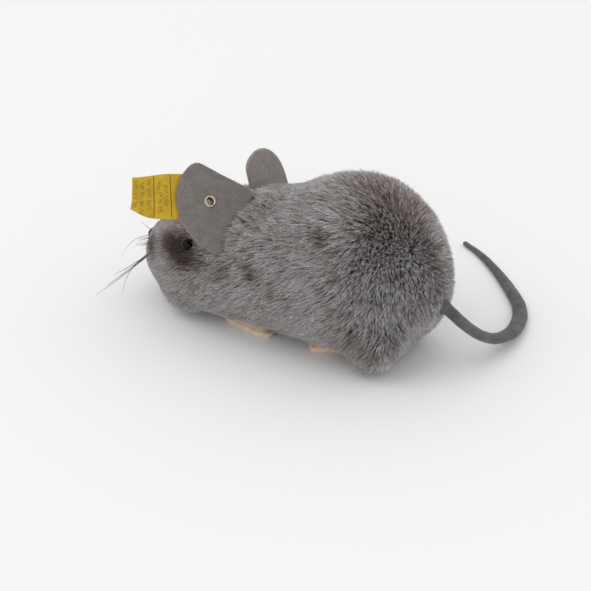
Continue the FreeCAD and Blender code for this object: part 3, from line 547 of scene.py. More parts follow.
def outer_surface():
    """The outside of the CAD cover as a grid: rows from the nose tip to the rump, columns around."""
    mesh = NODES["fur_cover"].data
    places = in_body([v.co for v in mesh.vertices])
    tree = BVHTree.FromPolygons([Vector(v) for v in places], [tuple(p.vertices) for p in mesh.polygons])
    stations = []
    front, back = section_middle(tree, SPINE_FRONT), section_middle(tree, SPINE_BACK)
    # Rays fan out from the spine's ends and stand across it in between.
    for k in range(FAN_RINGS):
        stations.append((SPINE_FRONT, front, -math.pi / 2 * (1 - k / FAN_RINGS)))
    for y in np.linspace(SPINE_FRONT, SPINE_BACK, SPINE_RINGS):
        stations.append((y, section_middle(tree, y), 0.0))
    for k in range(1, FAN_RINGS + 1):
        stations.append((SPINE_BACK, back, math.pi / 2 * k / FAN_RINGS))
    far, half = 120.0, AROUND // 2
    reach = np.zeros((len(stations), half + 1))
    rays = np.zeros((len(stations), half + 1, 3))
    base = np.array([(0, y, z) for y, z, _ in stations])
    for i, (y, z, tilt) in enumerate(stations):
        for j in range(half + 1):
            turn = math.pi * j / half
            ray = np.array([math.sin(turn) * math.cos(tilt), math.sin(tilt), math.cos(turn) * math.cos(tilt)])
            start = base[i] + ray * far
            hit = tree.ray_cast(Vector(start), Vector(-ray))[0]
            reach[i, j] = np.nan if hit is None else far - (hit - Vector(start)).length
            rays[i, j] = ray
        # Rays that meet the belly's opening or nothing take their reach from their neighbours.
        spots = base[i] + rays[i] * reach[i][:, None]
        inside = (spots[:, 0] < OPENING_HALF + 0.4) & (rays[i, :, 2] < -0.3) & (abs(tilt) < 0.2)
        inside &= (y > OPENING_FRONT - 3) & (y < OPENING_BACK + 2)
        inside |= np.isnan(reach[i])
        good = np.flatnonzero(~inside)
        reach[i] = np.interp(np.arange(half + 1), good, reach[i][good])
    for _ in range(3):
        padded = np.concatenate([reach[:, 1:2], reach, reach[:, -2:-1]], 1)
        reach = 0.5 * reach + 0.25 * (padded[:, :-2] + padded[:, 2:])
        reach[1:-1] = 0.5 * reach[1:-1] + 0.25 * (reach[:-2] + reach[2:])
    left = base[:, None] + rays * reach[..., None]
    right = left[:, 1:-1][:, ::-1] * [-1, 1, 1]
    return np.concatenate([left, right], 1)


def grid_normals(grid):
    """Outward normals of a grid that is closed around."""
    around = np.roll(grid, -1, 1) - np.roll(grid, 1, 1)
    along = np.gradient(grid, axis=0)
    normal = unit(np.cross(around, along))
    middle = np.array([0, grid[..., 1].mean(), grid[..., 2].mean()])
    if ((grid - middle) * normal).sum() < 0:
        normal = -normal
    for end, way in ((0, -1), (-1, 1)):
        normal[end] = (0, way, 0)
    return normal


def belly_share(points, normals):
    """1 on the flat underside, 0 on the flanks."""
    return ramp(-normals[..., 2], 0.62, 0.9) * ramp(15 - points[..., 2], 0, 6)


def pile_length(points, normals):
    """Full length of the pile: short on the nose and the belly, long on the back."""
    length = np.interp(points[..., 1], [-60, -55, -48, -40, -30, -14, 40, 52, 60],
                       [1.0, 1.5, 2.4, 3.4, 4.8, 6.4, 6.6, 5.6, 4.6])
    return length * (1 - 0.62 * belly_share(points, normals))


def pile_depth(points, normals):
    """How far the skin lies under the CAD surface, which stands near the top of the pile."""
    return np.interp(pile_length(points, normals), [1.0, 2.4, 4.8, 6.6], [0.45, 0.9, 1.7, 2.1])


def pile_proud(points, normals):
    """How far the tips of the pile stand out of the CAD surface; a little less where it dips."""
    y, up = points[..., 1], normals[..., 2]
    proud = np.interp(y, [-60, -50, -36, -20, 0, 26, 46, 54, 60],
                      [0.1, 0.25, 0.4, 0.6, 0.7, 0.8, 0.9, 0.9, 0.7])
    top = ramp(up, 0.5, 0.9)
    saddle, hump = np.exp(-(((y + 2) / 9) ** 2)), np.exp(-(((y - 21) / 9) ** 2))
    return proud + top * (1.0 * hump - 0.2 - 1.2 * saddle)


def split(mesh, faces, point, normal):
    """Cut the given faces along a plane."""
    edges, corners = {e for f in faces for e in f.edges}, {v for f in faces for v in f.verts}
    bmesh.ops.bisect_plane(mesh, geom=[*edges, *faces, *corners], dist=1e-5, plane_co=point, plane_no=normal)


def cut_key_hole(mesh):
    """Cut the round hole in the right flank, through which the key's shaft comes out."""
    sides, reach, flank = 20, 7, -15
    centre = Vector((0, *KEY_AXIS[1:]))

    def near(distance):
        found = []
        for face in mesh.faces:
            x, y, z = face.calc_center_median()
            if x < flank and (Vector((0, y, z)) - centre).length < distance:
                found.append(face)
        return found

    for k in range(sides):
        angle = 2 * math.pi * (k + 0.5) / sides
        normal = Vector((0, math.cos(angle), math.sin(angle)))
        split(mesh, near(reach), centre + normal * KEY_HOLE, normal)
    bmesh.ops.delete(mesh, geom=near(KEY_HOLE), context="FACES")


def cut_opening(mesh):
    """Cut the oblong opening in the belly, through which the wheels reach the floor."""
    low = 14.0
    for point, normal in (((OPENING_HALF, 0, 0), (1, 0, 0)), ((-OPENING_HALF, 0, 0), (-1, 0, 0)),
                          ((0, OPENING_FRONT, 0), (0, -1, 0)), ((0, OPENING_BACK, 0), (0, 1, 0))):
        belly = [f for f in mesh.faces if f.calc_center_median().z < low]
        split(mesh, belly, Vector(point), Vector(normal))
    gone = []
    for face in mesh.faces:
        x, y, z = face.calc_center_median()
        if abs(x) < OPENING_HALF and OPENING_FRONT < y < OPENING_BACK and z < low:
            gone.append(face)
    bmesh.ops.delete(mesh, geom=gone, context="FACES")


def make_skin():
    """The sewn backing of the plush. Returns its outer triangles and the normals at their corners."""
    outer = outer_surface()
    normals = grid_normals(outer)
    skin = outer - normals * pile_depth(outer, normals)[..., None]
    rows, columns = skin.shape[:2]
    mesh = bmesh.new()
    verts = [mesh.verts.new(p) for p in skin.reshape(-1, 3)]
    for face in grid_faces(rows, columns):
        mesh.faces.new([verts[i] for i in reversed(face)])
    bmesh.ops.remove_doubles(mesh, verts=mesh.verts, dist=0.02)
    bmesh.ops.recalc_face_normals(mesh, faces=mesh.faces)
    cut_opening(mesh)
    cut_key_hole(mesh)
    drop_loose(mesh)
    mesh.normal_update()
    triangles, corner_normals = [], []
    for face in mesh.faces:
        ring = face.verts
        for k in range(1, len(ring) - 1):
            trio = (ring[0], ring[k], ring[k + 1])
            triangles.append([tuple(v.co) for v in trio])
            corner_normals.append([tuple(v.normal) for v in trio])
    for vert in mesh.verts:
        vert.co = in_metres(vert.co)
    data = bpy.data.meshes.new("plush_backing")
    mesh.to_mesh(data)
    mesh.free()
    data.polygons.foreach_set("use_smooth", [True] * len(data.polygons))
    data.materials.append(backing_material())
    thing = linked("plush_backing", data)
    modify(thing, "SOLIDIFY", thickness=BACKING * MM, offset=-1.0)
    fit_out(thing, "fur_cover")
    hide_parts("fur_cover")
    return np.array(triangles), np.array(corner_normals)


# ---------------------------------------------------------------- pile

# Feet: half length, half width, place of the middle, and turn of the toes away from the middle.
FEET = {"front": (10.5, 3.2, (10.2, -12.2), math.radians(-9)),
        "hind": (8.5, 2.8, (6.8, 19.6), math.radians(36))}
FOOT_THICKNESS = 2.3


def over_foot(curve, kind, beside):
    """True for points within or just beside the outline of a foot, seen from above."""
    half_long, half_wide, centre, turn = FEET[kind]
    x, y = np.abs(curve[..., 0]) - centre[0], curve[..., 1] - centre[1]
    across, along = turned(x, y, -turn)
    past = np.maximum(np.abs(along) - (half_long - half_wide), 0)
    return np.hypot(across, past) < half_wide + beside


STRANDS = 152_000
PER_PIECE = 11_800

# Distance that the pile keeps from the middle of other pieces.
EAR_CLEAR, KEY_CLEAR, TAIL_CLEAR, EYE_CLEAR, NOSE_CLEAR = 0.85, 4.9, 2.3, 1.7, 2.0
FLOOR_CLEAR = 0.25
FOOT_CLEAR = {"front": 0.4, "hind": 1.6}

# Angles of the strands to the skin, the share and the height of the longer guard hairs, the strands in
# a clump, and the middle of a strand's tone on the scale of GREYS.
LEAST_ANGLE, MOST_ANGLE = 14, 75
GUARD_SHARE, GUARD_HEIGHT = 0.12, 1.25
PER_CLUMP = 9
BASE_TONE = 4.85
GREYS = [(72, 62, 58), (98, 89, 85), (124, 117, 113), (149, 143, 140), (172, 167, 165), (193, 189, 189),
         (211, 209, 210), (227, 226, 228)]
BROWNS = [(62, 45, 37), (104, 84, 74), (146, 128, 118)]

# Marks in the pile, most of them its own colour, one partly painted shade: place, radius, lighter or darker
# in tones, and how brown.
MARKS = [
    ((21.8, -30.5, 32.4), 4.8, -5.6, 0.85),      # around the eye
    ((20.6, -35.5, 31.2), 3.6, -3.6, 0.75),      # from the eye towards the nose
    ((17.6, -40.5, 31.6), 4.2, -2.4, 0.7),
    ((23.8, -28.5, 28.6), 3.4, -2.6, 0.6),       # below the eye
    ((24.0, -24.5, 31.0), 4.0, -2.0, 0.5),       # behind it, under the ear
    ((16.8, -47.6, 25.0), 2.8, -4.2, 0.6),       # whisker bed
    ((13.6, -50.6, 25.0), 2.6, -2.6, 0.5),
    ((27.4, 0.9, 34.6), 4.5, -1.5, 0.45),        # behind the shoulder
    ((26.8, -10.8, 30.8), 3.6, -1.2, 0.4),
    ((28.3, 9.4, 30.1), 3.6, -1.2, 0.4),
    ((21.6, 24.5, 50.7), 3.2, -1.6, 0.5),        # on the back's side
    ((2.5, 34.0, 60.0), 12.0, -0.2, 0.25),       # over the rump
    # The haunch mark darkens the pile there as painted shade, away from the light, and also warms it brown.
    ((23.4, 36.2, 15.0), 8.0, -1.0, 0.4),        # haunch
]


def comb(points, normals):
    """Which way the pile lies: out from the seam over the rump, along the body to the nose, and down."""
    # Along the body, and closing in on the nose ahead of the spine's front end.
    x, y, z = points.T
    past = np.minimum(y - SPINE_FRONT, 0)
    middle = np.interp(y, [-60, SPINE_FRONT], [17, 20])
    radial = np.maximum(np.hypot(x, z - middle), 1e-6)
    tilt = np.arctan2(past, radial)
    way = np.stack([x / radial * np.sin(tilt), -np.cos(tilt), (z - middle) / radial * np.sin(tilt)], 1)
    # Down the flanks, the haunches and the rear, and outward from the seam.
    flank = ramp(np.abs(normals[:, 0]), 0.25, 0.75)
    rear = ramp(normals[:, 1], 0.3, 0.85)
    haunch = ramp(y, 22, 40) * ramp(34 - z, 0, 14)
    fall = 0.12 + flank * (0.55 + 0.75 * haunch) + 0.45 * rear
    way[:, 2] -= fall * (1 - 0.75 * ramp(-y, 34, 50))
    way[:, 0] += np.tanh(x / 7) * (0.18 + 0.75 * ramp(y, 14, 48)) * (1 - 0.5 * flank) * (1 - ramp(-y, 30, 44))
    # Flat on the skin, with a wandering turn of some degrees.
    flat = unit(way - normals * (way * normals).sum(1, keepdims=True))
    turn = 0.3 * soft_noise(points, 9.0, 3) + 0.32 * soft_noise(points, 3.4, 4)
    across = np.cross(normals, flat)
    return unit(flat * np.cos(turn)[:, None] + across * np.sin(turn)[:, None])


def rise(points, normals):
    """Angle between the pile and the skin, in degrees."""
    rear = ramp(normals[:, 1], 0.1, 0.6)
    top = ramp(normals[:, 2], 0.5, 0.9) * ramp(points[:, 1], 6, 30)
    body = 8 * ramp(points[:, 1], -44, -20)
    return 29 + body + np.maximum(30 * rear, 14 * top) + 8 * soft_noise(points, 5.0, 5)


def random_points(corners, normals, weight, count, rng):
    """Points on triangles, drawn by the triangles' weights, with the normals there."""
    pick = rng.choice(len(weight), count, p=weight / weight.sum())
    a, b = rng.random(count), rng.random(count)
    flip = a + b > 1
    a[flip], b[flip] = 1 - a[flip], 1 - b[flip]
    share = np.stack([1 - a - b, a, b], 1)[..., None]
    return (corners[pick] * share).sum(1), unit((normals[pick] * share).sum(1))


def areas(corners):
    return np.linalg.norm(np.cross(corners[:, 1] - corners[:, 0], corners[:, 2] - corners[:, 0]), axis=1) / 2


def scatter(triangles, corner_normals, rng):
    """Roots over the skin: denser where the hair is shorter."""
    centre, normal = triangles.mean(1), unit(corner_normals.mean(1))
    dense = np.interp(pile_length(centre, normal), [1.0, 2.5, 4.5, 6.6], [3.6, 2.4, 1.35, 1.0])
    weight = areas(triangles) * dense * (1 - 0.45 * belly_share(centre, normal))
    return random_points(triangles, corner_normals, weight, STRANDS, rng)


def clumped(points, tips, guides, strength):
    """Draw each tip towards the tip of the nearest guide hair."""
    tree = KDTree(len(guides))
    for i in guides:
        tree.insert(Vector(points[i]), int(i))
    tree.balance()
    nearest = np.array([tree.find(Vector(p))[1] for p in points])
    return tips + (tips[nearest] - tips) * strength[:, None], nearest


def inside_ear(curve, ear, margin):
    """True for strands that pass through an ear's felt."""
    local = (curve - ear["centre"]) @ np.stack([ear["along"], ear["across"], ear["back"]], 1)
    outline = ear["outline"]
    angle = np.arctan2(local[..., 1], local[..., 0])
    table = np.arctan2(outline[:, 1], outline[:, 0])
    order = np.argsort(table)
    reach = np.interp(angle, table[order], np.linalg.norm(outline, axis=1)[order], period=2 * math.pi)
    within = np.linalg.norm(local[..., :2], axis=-1) < reach + 0.2
    touching = (within & (np.abs(local[..., 2]) < margin)).any(1)
    crossing = within.any(1) & (local[..., 2].min(1) < 0) & (local[..., 2].max(1) > 0)
    return touching | (crossing & within[:, -1])


def make_pile(triangles, corner_normals, ears, tail_line):
    """The pile: clumped, combed hair in mottled tones, split into pieces from nose to rump."""
    rng = np.random.default_rng(11)
    roots, normals = scatter(triangles, corner_normals, rng)
    count = len(roots)
    # Each strand rises to its height over the skin while it runs along it.
    lay = comb(roots, normals)
    angle = np.radians(np.clip(rise(roots, normals) + rng.normal(0, 3, count), LEAST_ANGLE, MOST_ANGLE))
    full = pile_length(roots, normals)
    spin = rng.normal(0, 0.26 + 0.4 * ramp(normals[:, 1], 0.2, 0.7), count)
    lay = unit(lay * np.cos(spin)[:, None] + np.cross(normals, lay) * np.sin(spin)[:, None])
    height = (pile_depth(roots, normals) + pile_proud(roots, normals)) * rng.uniform(0.72, 1.06, count)
    height = np.maximum(height, 0.35) * np.where(rng.random(count) < GUARD_SHARE, GUARD_HEIGHT, 1.0)
    run = np.minimum(height / np.tan(angle), full) * rng.uniform(0.85, 1.1, count)
    length = np.hypot(height, run)
    tips = roots + normals * height[:, None] + lay * run[:, None]
    # Tips draw together into clumps, and a strand bends over from its root to its tip.
    guides = rng.choice(count, count // PER_CLUMP, replace=False)
    strength = np.clip(rng.normal(0.32, 0.12, count), 0.05, 0.6) * np.interp(length, [1.2, 4.0], [0.3, 1.0])
    tips, nearest = clumped(roots, tips, guides, strength)
    bend = roots + normals * (height * 0.9)[:, None] + lay * (run * 0.3)[:, None]
    curve = np.stack([roots * (1 - t) ** 2 + bend * 2 * t * (1 - t) + tips * t**2
                      for t in (0.0, 0.38, 0.72, 1.0)], 1)

    # Strands that would meet another piece are left out, and none goes below the floor or a foot's top.
    keep = np.ones(count, bool)
    for ear in ears:
        keep &= ~inside_ear(curve, ear, EAR_CLEAR)
    off_key = np.linalg.norm(curve[..., 1:] - KEY_AXIS[1:], axis=-1)
    keep &= ~((off_key < KEY_CLEAR) & (curve[..., 0] < -20)).any(1)
    to_tail = np.linalg.norm(roots[:, None] - tail_line[None], axis=2).min(1)
    keep &= to_tail > TAIL_CLEAR
    wheels = (np.abs(curve[..., 0]) < OPENING_HALF - 0.3) & (curve[..., 2] < 9)
    wheels &= (curve[..., 1] > OPENING_FRONT) & (curve[..., 1] < OPENING_BACK)
    keep &= ~wheels.any(1)
    for node, clear in (("eye_left", EYE_CLEAR), ("eye_right", EYE_CLEAR), ("nose", NOSE_CLEAR)):
        keep &= np.linalg.norm(curve - centre_mm(node), axis=-1).min(1) > clear
    floor = np.full(curve.shape[:2], FLOOR_CLEAR)
    for kind, clear in FOOT_CLEAR.items():
        floor[over_foot(curve, kind, 0.6 + clear / 2)] = FOOT_THICKNESS + clear
    curve[..., 2] = np.maximum(curve[..., 2], floor)

    # Tone: dark roots, light tips, with drifts from place to place and from clump to clump. Pile that faces
    # up is painted lighter, a painted highlight from above.
    clump = rng.normal(0, 1, count)[nearest]
    over = ramp(normals[:, 2], 0.55, 0.9)
    tone = BASE_TONE + 0.6 * soft_noise(roots, 14.0, 6) + 0.7 * soft_noise(roots, 3.2, 7) + 0.4 * clump
    # 0.3 * over: painted highlight on pile that faces up.
    tone += rng.normal(0, 0.85, count) + 0.3 * over - 0.3 * ramp(-roots[:, 1], 46, 56)
    brown = 0.1 + 0.22 * ramp(soft_noise(roots, 11.0, 8), 0.1, 0.7) + 0.3 * ramp(-roots[:, 1], 44, 56)
    brown += 0.12 * over * ramp(roots[:, 1], 4, 22)
    for place, radius, change, hue in MARKS:
        for sign in SIDES.values():
            away = np.linalg.norm(roots - np.array(place) * [sign, 1, 1], axis=1)
            near = np.exp(-((away / radius) ** 2))
            tone += change * near
            brown += hue * near
    bare = np.maximum(ramp(normals[:, 1], 0.2, 0.7), 0.8 * over * ramp(roots[:, 1], 4, 22))[:, None]
    shift = np.array([-1.7, -0.4, 0.7]) + bare * [1.5, 0.9, 0.3]
    tones = np.clip(np.rint(tone[:, None] + shift), 0, len(GREYS) - 1)
    is_brown = rng.random(count) < brown
    brown_tone = len(GREYS) + np.clip(np.rint((tone[:, None] + shift) * 0.5 - 0.5), 0, len(BROWNS) - 1)
    tones = np.where(is_brown[:, None], brown_tone, tones).astype(int)

    width = np.interp(length, [1.0, 3.0, 6.5], [0.12, 0.16, 0.18]) * rng.uniform(0.75, 1.2, count)
    kept = np.flatnonzero(keep)
    kept = kept[np.argsort(roots[kept, 1], kind="stable")]
    hair = Hair(curve, width, tones)
    materials = tone_materials("pile_grey", GREYS) + tone_materials("pile_brown", BROWNS)
    pieces = math.ceil(len(kept) / PER_PIECE)
    for number, share in enumerate(np.array_split(kept, pieces), start=1):
        piece = hair.piece(f"fur_pile_{number}", share, materials, 100 + number)
        fit_out(piece, "fur_cover")


def fuzz(name, roots, normals, stands_for, colours, length, width, seed):
    """A short nap: tiny single hairs that soften the edge of felt or suede."""
    rng = np.random.default_rng(seed)
    count = len(roots)
    lean, sunk = 0.6, 0.08
    way = unit(unit(normals) + lean * rng.normal(size=(count, 3)))
    reach = length * rng.uniform(0.5, 1.2, count)
    curve = np.stack([roots - way * sunk, roots + way * reach[:, None]], 1)
    tones = rng.integers(0, len(colours), (count, 1))
    hair = Hair(curve, width * rng.uniform(0.7, 1.2, count), tones)
    piece = hair.piece(name, np.arange(count), tone_materials(name, colours, 0.9, 0.2), seed)
    return fit_out(piece, stands_for)


def surface_roots(thing, count, seed):
    """Evenly scattered points and normals on an object's surface, in millimetres."""
    mesh = thing.data
    mesh.calc_loop_triangles()
    places = in_body([v.co for v in mesh.vertices])
    normals = np.array([v.normal for v in mesh.vertices])
    trios = np.array([t.vertices for t in mesh.loop_triangles])
    corners = places[trios]
    return random_points(corners, normals[trios], areas(corners), count, np.random.default_rng(seed))


# ---------------------------------------------------------------- ears

EAR_OUTLINE = [(-11.2, -8), (-10.2, -10.3), (-6, -11.4), (1, -12.1), (7, -12.8), (10.8, -12.9),
               (13.4, -10.3), (15.1, -4.5), (13.9, 2.6), (9.9, 8.9), (4.2, 12.9), (-2.1, 14.8),
               (-6.4, 14.8), (-8.6, 12), (-9.2, 5), (-10.4, -1.5)]
FELT = 1.4
EYELET_AT = (3.05, -1.4)
EYELET_HOLE = 1.45
# Both ears are the same felt; the right ear's tones are painted lighter than the left's as painted light.
EAR_TONES = {"left": [(120, 113, 109), (126, 119, 115), (132, 126, 122)],
             "right": [(144, 135, 131), (151, 142, 138), (158, 150, 146)]}
EAR_NAP = [(112, 105, 101), (124, 117, 113), (134, 127, 123), (144, 138, 134)]


def ear_frame(centre, along, across):
    """An ear's own directions: along and across its felt, and out of its back."""
    along = unit(along)
    across = np.asarray(across, float)
    across = unit(across - along * (across @ along))
    return {"centre": np.array(centre, float), "along": along, "across": across,
            "back": np.cross(along, across), "outline": closed_curve(EAR_OUTLINE, 112)}


EARS = {"left": ear_frame((17.5, -20.5, 47.5), (0.588, -0.669, 0.455), (0.711, 0.159, -0.685)),
        "right": ear_frame((-13.7, -19.7, 42), (-0.155, -0.262, 0.953), (-0.978, -0.097, -0.186))}


def ear_bow(u, v):
    """How far the felt stands off its plane: a shallow dish, with a wave along the free edge."""
    out = np.hypot(u, v) / 14
    return 0.3 * (1 - out**2) + 0.2 * np.sin(u * 0.28 + v * 0.12) * out


def on_ear(ear, u, v, off):
    """Places on an ear, from lengths along, across and off its plane."""
    u, v, off = (np.asarray(a, float)[..., None] for a in (u, v, off))
    return ear["centre"] + ear["along"] * u + ear["across"] * v + ear["back"] * off


def skins(outline, shares, edge):
    """Shrunk copies of an outline over the upper and then the lower skin of a flat piece.

    Each comes with its skin, 1 or -1, its share of the outline, and its swell, which falls to 0 at the
    rim from the share called edge on, so that the two skins meet in a round edge.
    """
    for skin in (1, -1):
        for share in shares if skin > 0 else shares[-2::-1]:
            swell = math.sqrt(max(0.0, 1 - (max(0.0, share - edge) / (1 - edge)) ** 2))
            yield outline * share, skin, share, swell


def make_ear(side):
    """A felt ear: two skins that meet in a rounded edge, with a nap on both."""
    ear = EARS[side]
    shares = [0.02, 0.2, 0.36, 0.5, 0.62, 0.73, 0.82, 0.89, 0.94, 0.965, 0.985, 1.0]
    rows = []
    for flat, skin, _, swell in skins(ear["outline"], shares, 0.95):
        u, v = flat[:, 0], flat[:, 1]
        rows.append(on_ear(ear, u, v, ear_bow(u, v) + skin * FELT / 2 * swell))
    felt = felt_material(f"ear_felt_{side}", *EAR_TONES[side])
    thing = make_object(f"felt_ear_{side}", np.array(rows).reshape(-1, 3),
                        capped_faces(len(rows), len(ear["outline"])), [felt])
    if side == "left":
        depth, point = 4, 0.01
        profile = [(-depth, point), (-depth, EYELET_HOLE), (depth, EYELET_HOLE), (depth, point)]
        drill = lathe("drill", profile, 40, at_eyelet, [felt])
        modify(thing, "BOOLEAN", operation="DIFFERENCE", object=drill)
        bpy.data.objects.remove(drill)
    fit_out(thing, f"ear_{side}")
    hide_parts(f"ear_{side}")
    roots, normals = surface_roots(thing, 9000, 31)
    fuzz(f"ear_nap_{side}", roots, normals, f"ear_{side}", EAR_NAP, 0.36, 0.08, 32)


def at_eyelet(x, y, height):
    """A place near the eyelet, from lengths across the ear's felt and out of its back."""
    return on_ear(EARS["left"], EYELET_AT[0] + x, EYELET_AT[1] + y, height)


def lathe(name, profile, sides, place, materials):
    """A turned piece: profile rows are (height, radius); place maps (x, y, height) to the mouse."""
    points = []
    for height, radius in profile:
        for k in range(sides):
            angle = 2 * math.pi * k / sides
            points.append(place(radius * math.cos(angle), radius * math.sin(angle), height))
    last = (len(profile) - 1) * sides
    faces = grid_faces(len(profile), sides)
    faces += [(last + k, last + (k + 1) % sides, (k + 1) % sides, k) for k in range(sides)]
    return make_object(name, np.array(points), faces, materials)


def make_eyelet():
    """A rolled metal eyelet through the ear and the label under it."""
    middle = ear_bow(*map(np.array, EYELET_AT))
    rim, bore, roll, under_roll = 2.08, 1.3, 0.42, 0.28
    back, front = FELT / 2 + 0.05, -FELT / 2 - 0.9
    profile = []
    for angle in np.linspace(math.pi, 0, 13):
        profile.append((back + roll * math.sin(angle), (rim + bore) / 2 - (rim - bore) / 2 * math.cos(angle)))
    profile += [(back - 0.3, bore - 0.02), (front + 0.3, bore - 0.06)]
    for angle in np.linspace(0, math.pi, 9):
        profile.append((front - under_roll * math.sin(angle),
                        bore - 0.04 + (rim - 0.06 - bore) / 2 * (1 - math.cos(angle))))
    profile += [(front + 0.08, rim - 0.14), (front + 0.1, bore + 0.16), (back - 0.1, bore + 0.16),
                (back - 0.06, rim - 0.06)]
    metal = grained("eyelet_metal", (196, 186, 166), 0.3,
                    ((0.9,), [(0.3, (150, 132, 98)), (0.5, (196, 186, 166)), (0.75, (216, 210, 196))]),
                    gloss=((0.4, 3), [(0.3, 0.2), (0.7, 0.42)]), Metallic=1.0)
    tarnish = grained("eyelet_inside", (84, 68, 48), 0.55,
                      ((0.6,), [(0.3, (58, 46, 32)), (0.7, (112, 92, 64))]), Metallic=0.6)
    thing = lathe("rolled_eyelet", profile, 48, lambda x, y, height: at_eyelet(x, y, middle + height),
                  [metal, tarnish])
    axis, spot = EARS["left"]["back"], at_eyelet(0, 0, middle)
    for face in thing.data.polygons:
        offset = in_body(face.center) - spot
        out = np.linalg.norm(offset - axis * (offset @ axis))
        face.material_index = int(out < bore + 0.03)
    fit_out(thing, "ear_eyelet")
    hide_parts("ear_eyelet")


LABEL_LENGTH, LABEL_WIDTH, LABEL_LEAD = 31.5, 15.5, 3.6
LABEL_TURN = math.radians(19)
LABEL_TOP = -0.62
RIBBON = 0.14


def make_label():
    """The yellow ribbon: ruled across, with rows of plain dashes, and its low corner curling back."""
    cell = 0.2
    across_count, along_count = round(LABEL_WIDTH / cell), round(LABEL_LENGTH / cell)
    u = np.linspace(-LABEL_LEAD, LABEL_LENGTH - LABEL_LEAD, along_count + 1)
    v = np.linspace(LABEL_WIDTH * LABEL_TOP, LABEL_WIDTH * (1 + LABEL_TOP), across_count + 1)
    uu, vv = np.meshgrid(u, v, indexing="ij")
    # The low outer corner rolls away from the viewer about a slanting line.
    slant, line = unit(np.array([0.443, 0.896])), 11.7
    past = np.maximum(0, uu * slant[0] + vv * slant[1] - line)
    radius, most = 2.3, 2.3
    angle = np.minimum(past / radius, most)
    straight = np.maximum(0, past - radius * most)
    shorten = past - radius * np.sin(angle) - straight * math.cos(most)
    drop = radius * (1 - np.cos(angle)) + straight * math.sin(most)
    px, py = uu - slant[0] * shorten, vv - slant[1] * shorten
    # It narrows towards the tip, waves a little, and stands clear of the ear past the eyelet.
    far_edge = (1 + LABEL_TOP) - vv / LABEL_WIDTH
    tip = ramp(uu, 12, 29)
    px, py = px - 1.2 * tip * far_edge, py + 1.9 * tip * far_edge
    wave = 0.35 * np.sin(uu * 0.24 + 0.6) * ramp(uu, 4, 12) + 0.02 * (uu - 6) * ramp(uu, 6, 24)
    lift = 0.16 + 0.9 * ramp(uu, 2, 9)
    off = ear_bow(*map(np.array, EYELET_AT)) - FELT / 2 - drop + wave - lift
    off += tip * 2.0 * (0.25 - (far_edge - 0.5) ** 2)
    points = at_eyelet(*turned(px, py, LABEL_TURN), off)
    faces, ink = [], []
    columns = across_count + 1
    marks = label_marks(np.random.default_rng(5))
    hole = 1.3
    for i in range(along_count):
        for j in range(across_count):
            mu, mv = (u[i] + u[i + 1]) / 2, (v[j] + v[j + 1]) / 2
            if math.hypot(mu, mv) < hole:
                continue
            a = i * columns + j
            faces.append((a, a + columns, a + columns + 1, a + 1))
            ink.append(int(any(lo_u <= mu < hi_u and lo_v <= mv < hi_v for lo_u, hi_u, lo_v, hi_v in marks)))
    thing = make_object("ribbon_label", points.reshape(-1, 3), faces, [ribbon_material(), ink_material()],
                        face_material=ink)
    modify(thing, "SOLIDIFY", thickness=RIBBON * MM, offset=0.0)
    with editing(thing) as mesh:
        drop_loose(mesh)
    fit_out(thing, "ear_label")
    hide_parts("ear_label")


def label_marks(rng):
    """Boxes of ink: two rules across the ribbon, and five rows of plain ticks of uneven height.

    A box is (least u, most u, least v, most v), with u along the ribbon and v across it.
    """
    low, high = LABEL_WIDTH * LABEL_TOP + 0.4, LABEL_WIDTH * (1 + LABEL_TOP) - 0.5
    marks = [(19.1, 19.5, low, high), (12.7, 13.1, low, high)]
    rows = [(26.6, low + 1.0, high - 5.0), (24.0, low + 1.6, high - 2.4), (21.4, low + 1.0, high - 1.6),
            (17.1, low + 1.6, high - 1.6), (14.7, low + 3.4, high - 3.4)]
    for middle, start, end in rows:
        at = start
        while at < end:
            ticks = rng.integers(3, 8)
            for _ in range(ticks):
                tall = rng.choice([1.0, 1.4, 1.8])
                foot = middle - 0.9 + (1.8 - tall) * rng.integers(0, 2)
                marks.append((foot, foot + tall, at, at + 0.2))
                at += rng.choice([0.4, 0.6])
            at += 0.8
    return marks


# ---------------------------------------------------------------- eyes, nose, whiskers


def ball(name, centre, radii, shape, materials):
    """A closed ball whose radius shape() may change from place to place."""
    rings, sides = 28, 40
    points = [(0, 0, 1)]
    for i in range(1, rings):
        for j in range(sides):
            tilt, turn = math.pi * i / rings, 2 * math.pi * j / sides
            points.append((math.sin(tilt) * math.cos(turn), math.sin(tilt) * math.sin(turn), math.cos(tilt)))
    points.append((0, 0, -1))
    points = np.array(points)
    faces = [(0, 1 + j, 1 + (j + 1) % sides) for j in range(sides)]
    faces += [tuple(1 + k for k in face) for face in grid_faces(rings - 1, sides)]
    end, last = len(points) - 1, 1 + (rings - 2) * sides
    faces += [(end, last + (j + 1) % sides, last + j) for j in range(sides)]
    placed = np.array(centre) + points * np.array(radii) * shape(points)[:, None]
    return make_object(name, placed, faces, materials)


def make_eyes():
    """Two beads, sunk a little into the pile, whose fronts bulge outward."""
    gloss = bead_material()
    radius, sunk = 2.2, 0.7
    for side, sign in SIDES.items():
        outward = unit([sign * 0.8, -0.45, 0.3])
        thing = ball(f"bead_eye_{side}", centre_mm(f"eye_{side}") - [sign * sunk, 0, 0], [radius] * 3,
                     lambda p, way=outward: 1 + 0.06 * ramp(p @ way, 0.2, 1.0), [gloss])
        fit_out(thing, f"eye_{side}")
        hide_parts(f"eye_{side}")


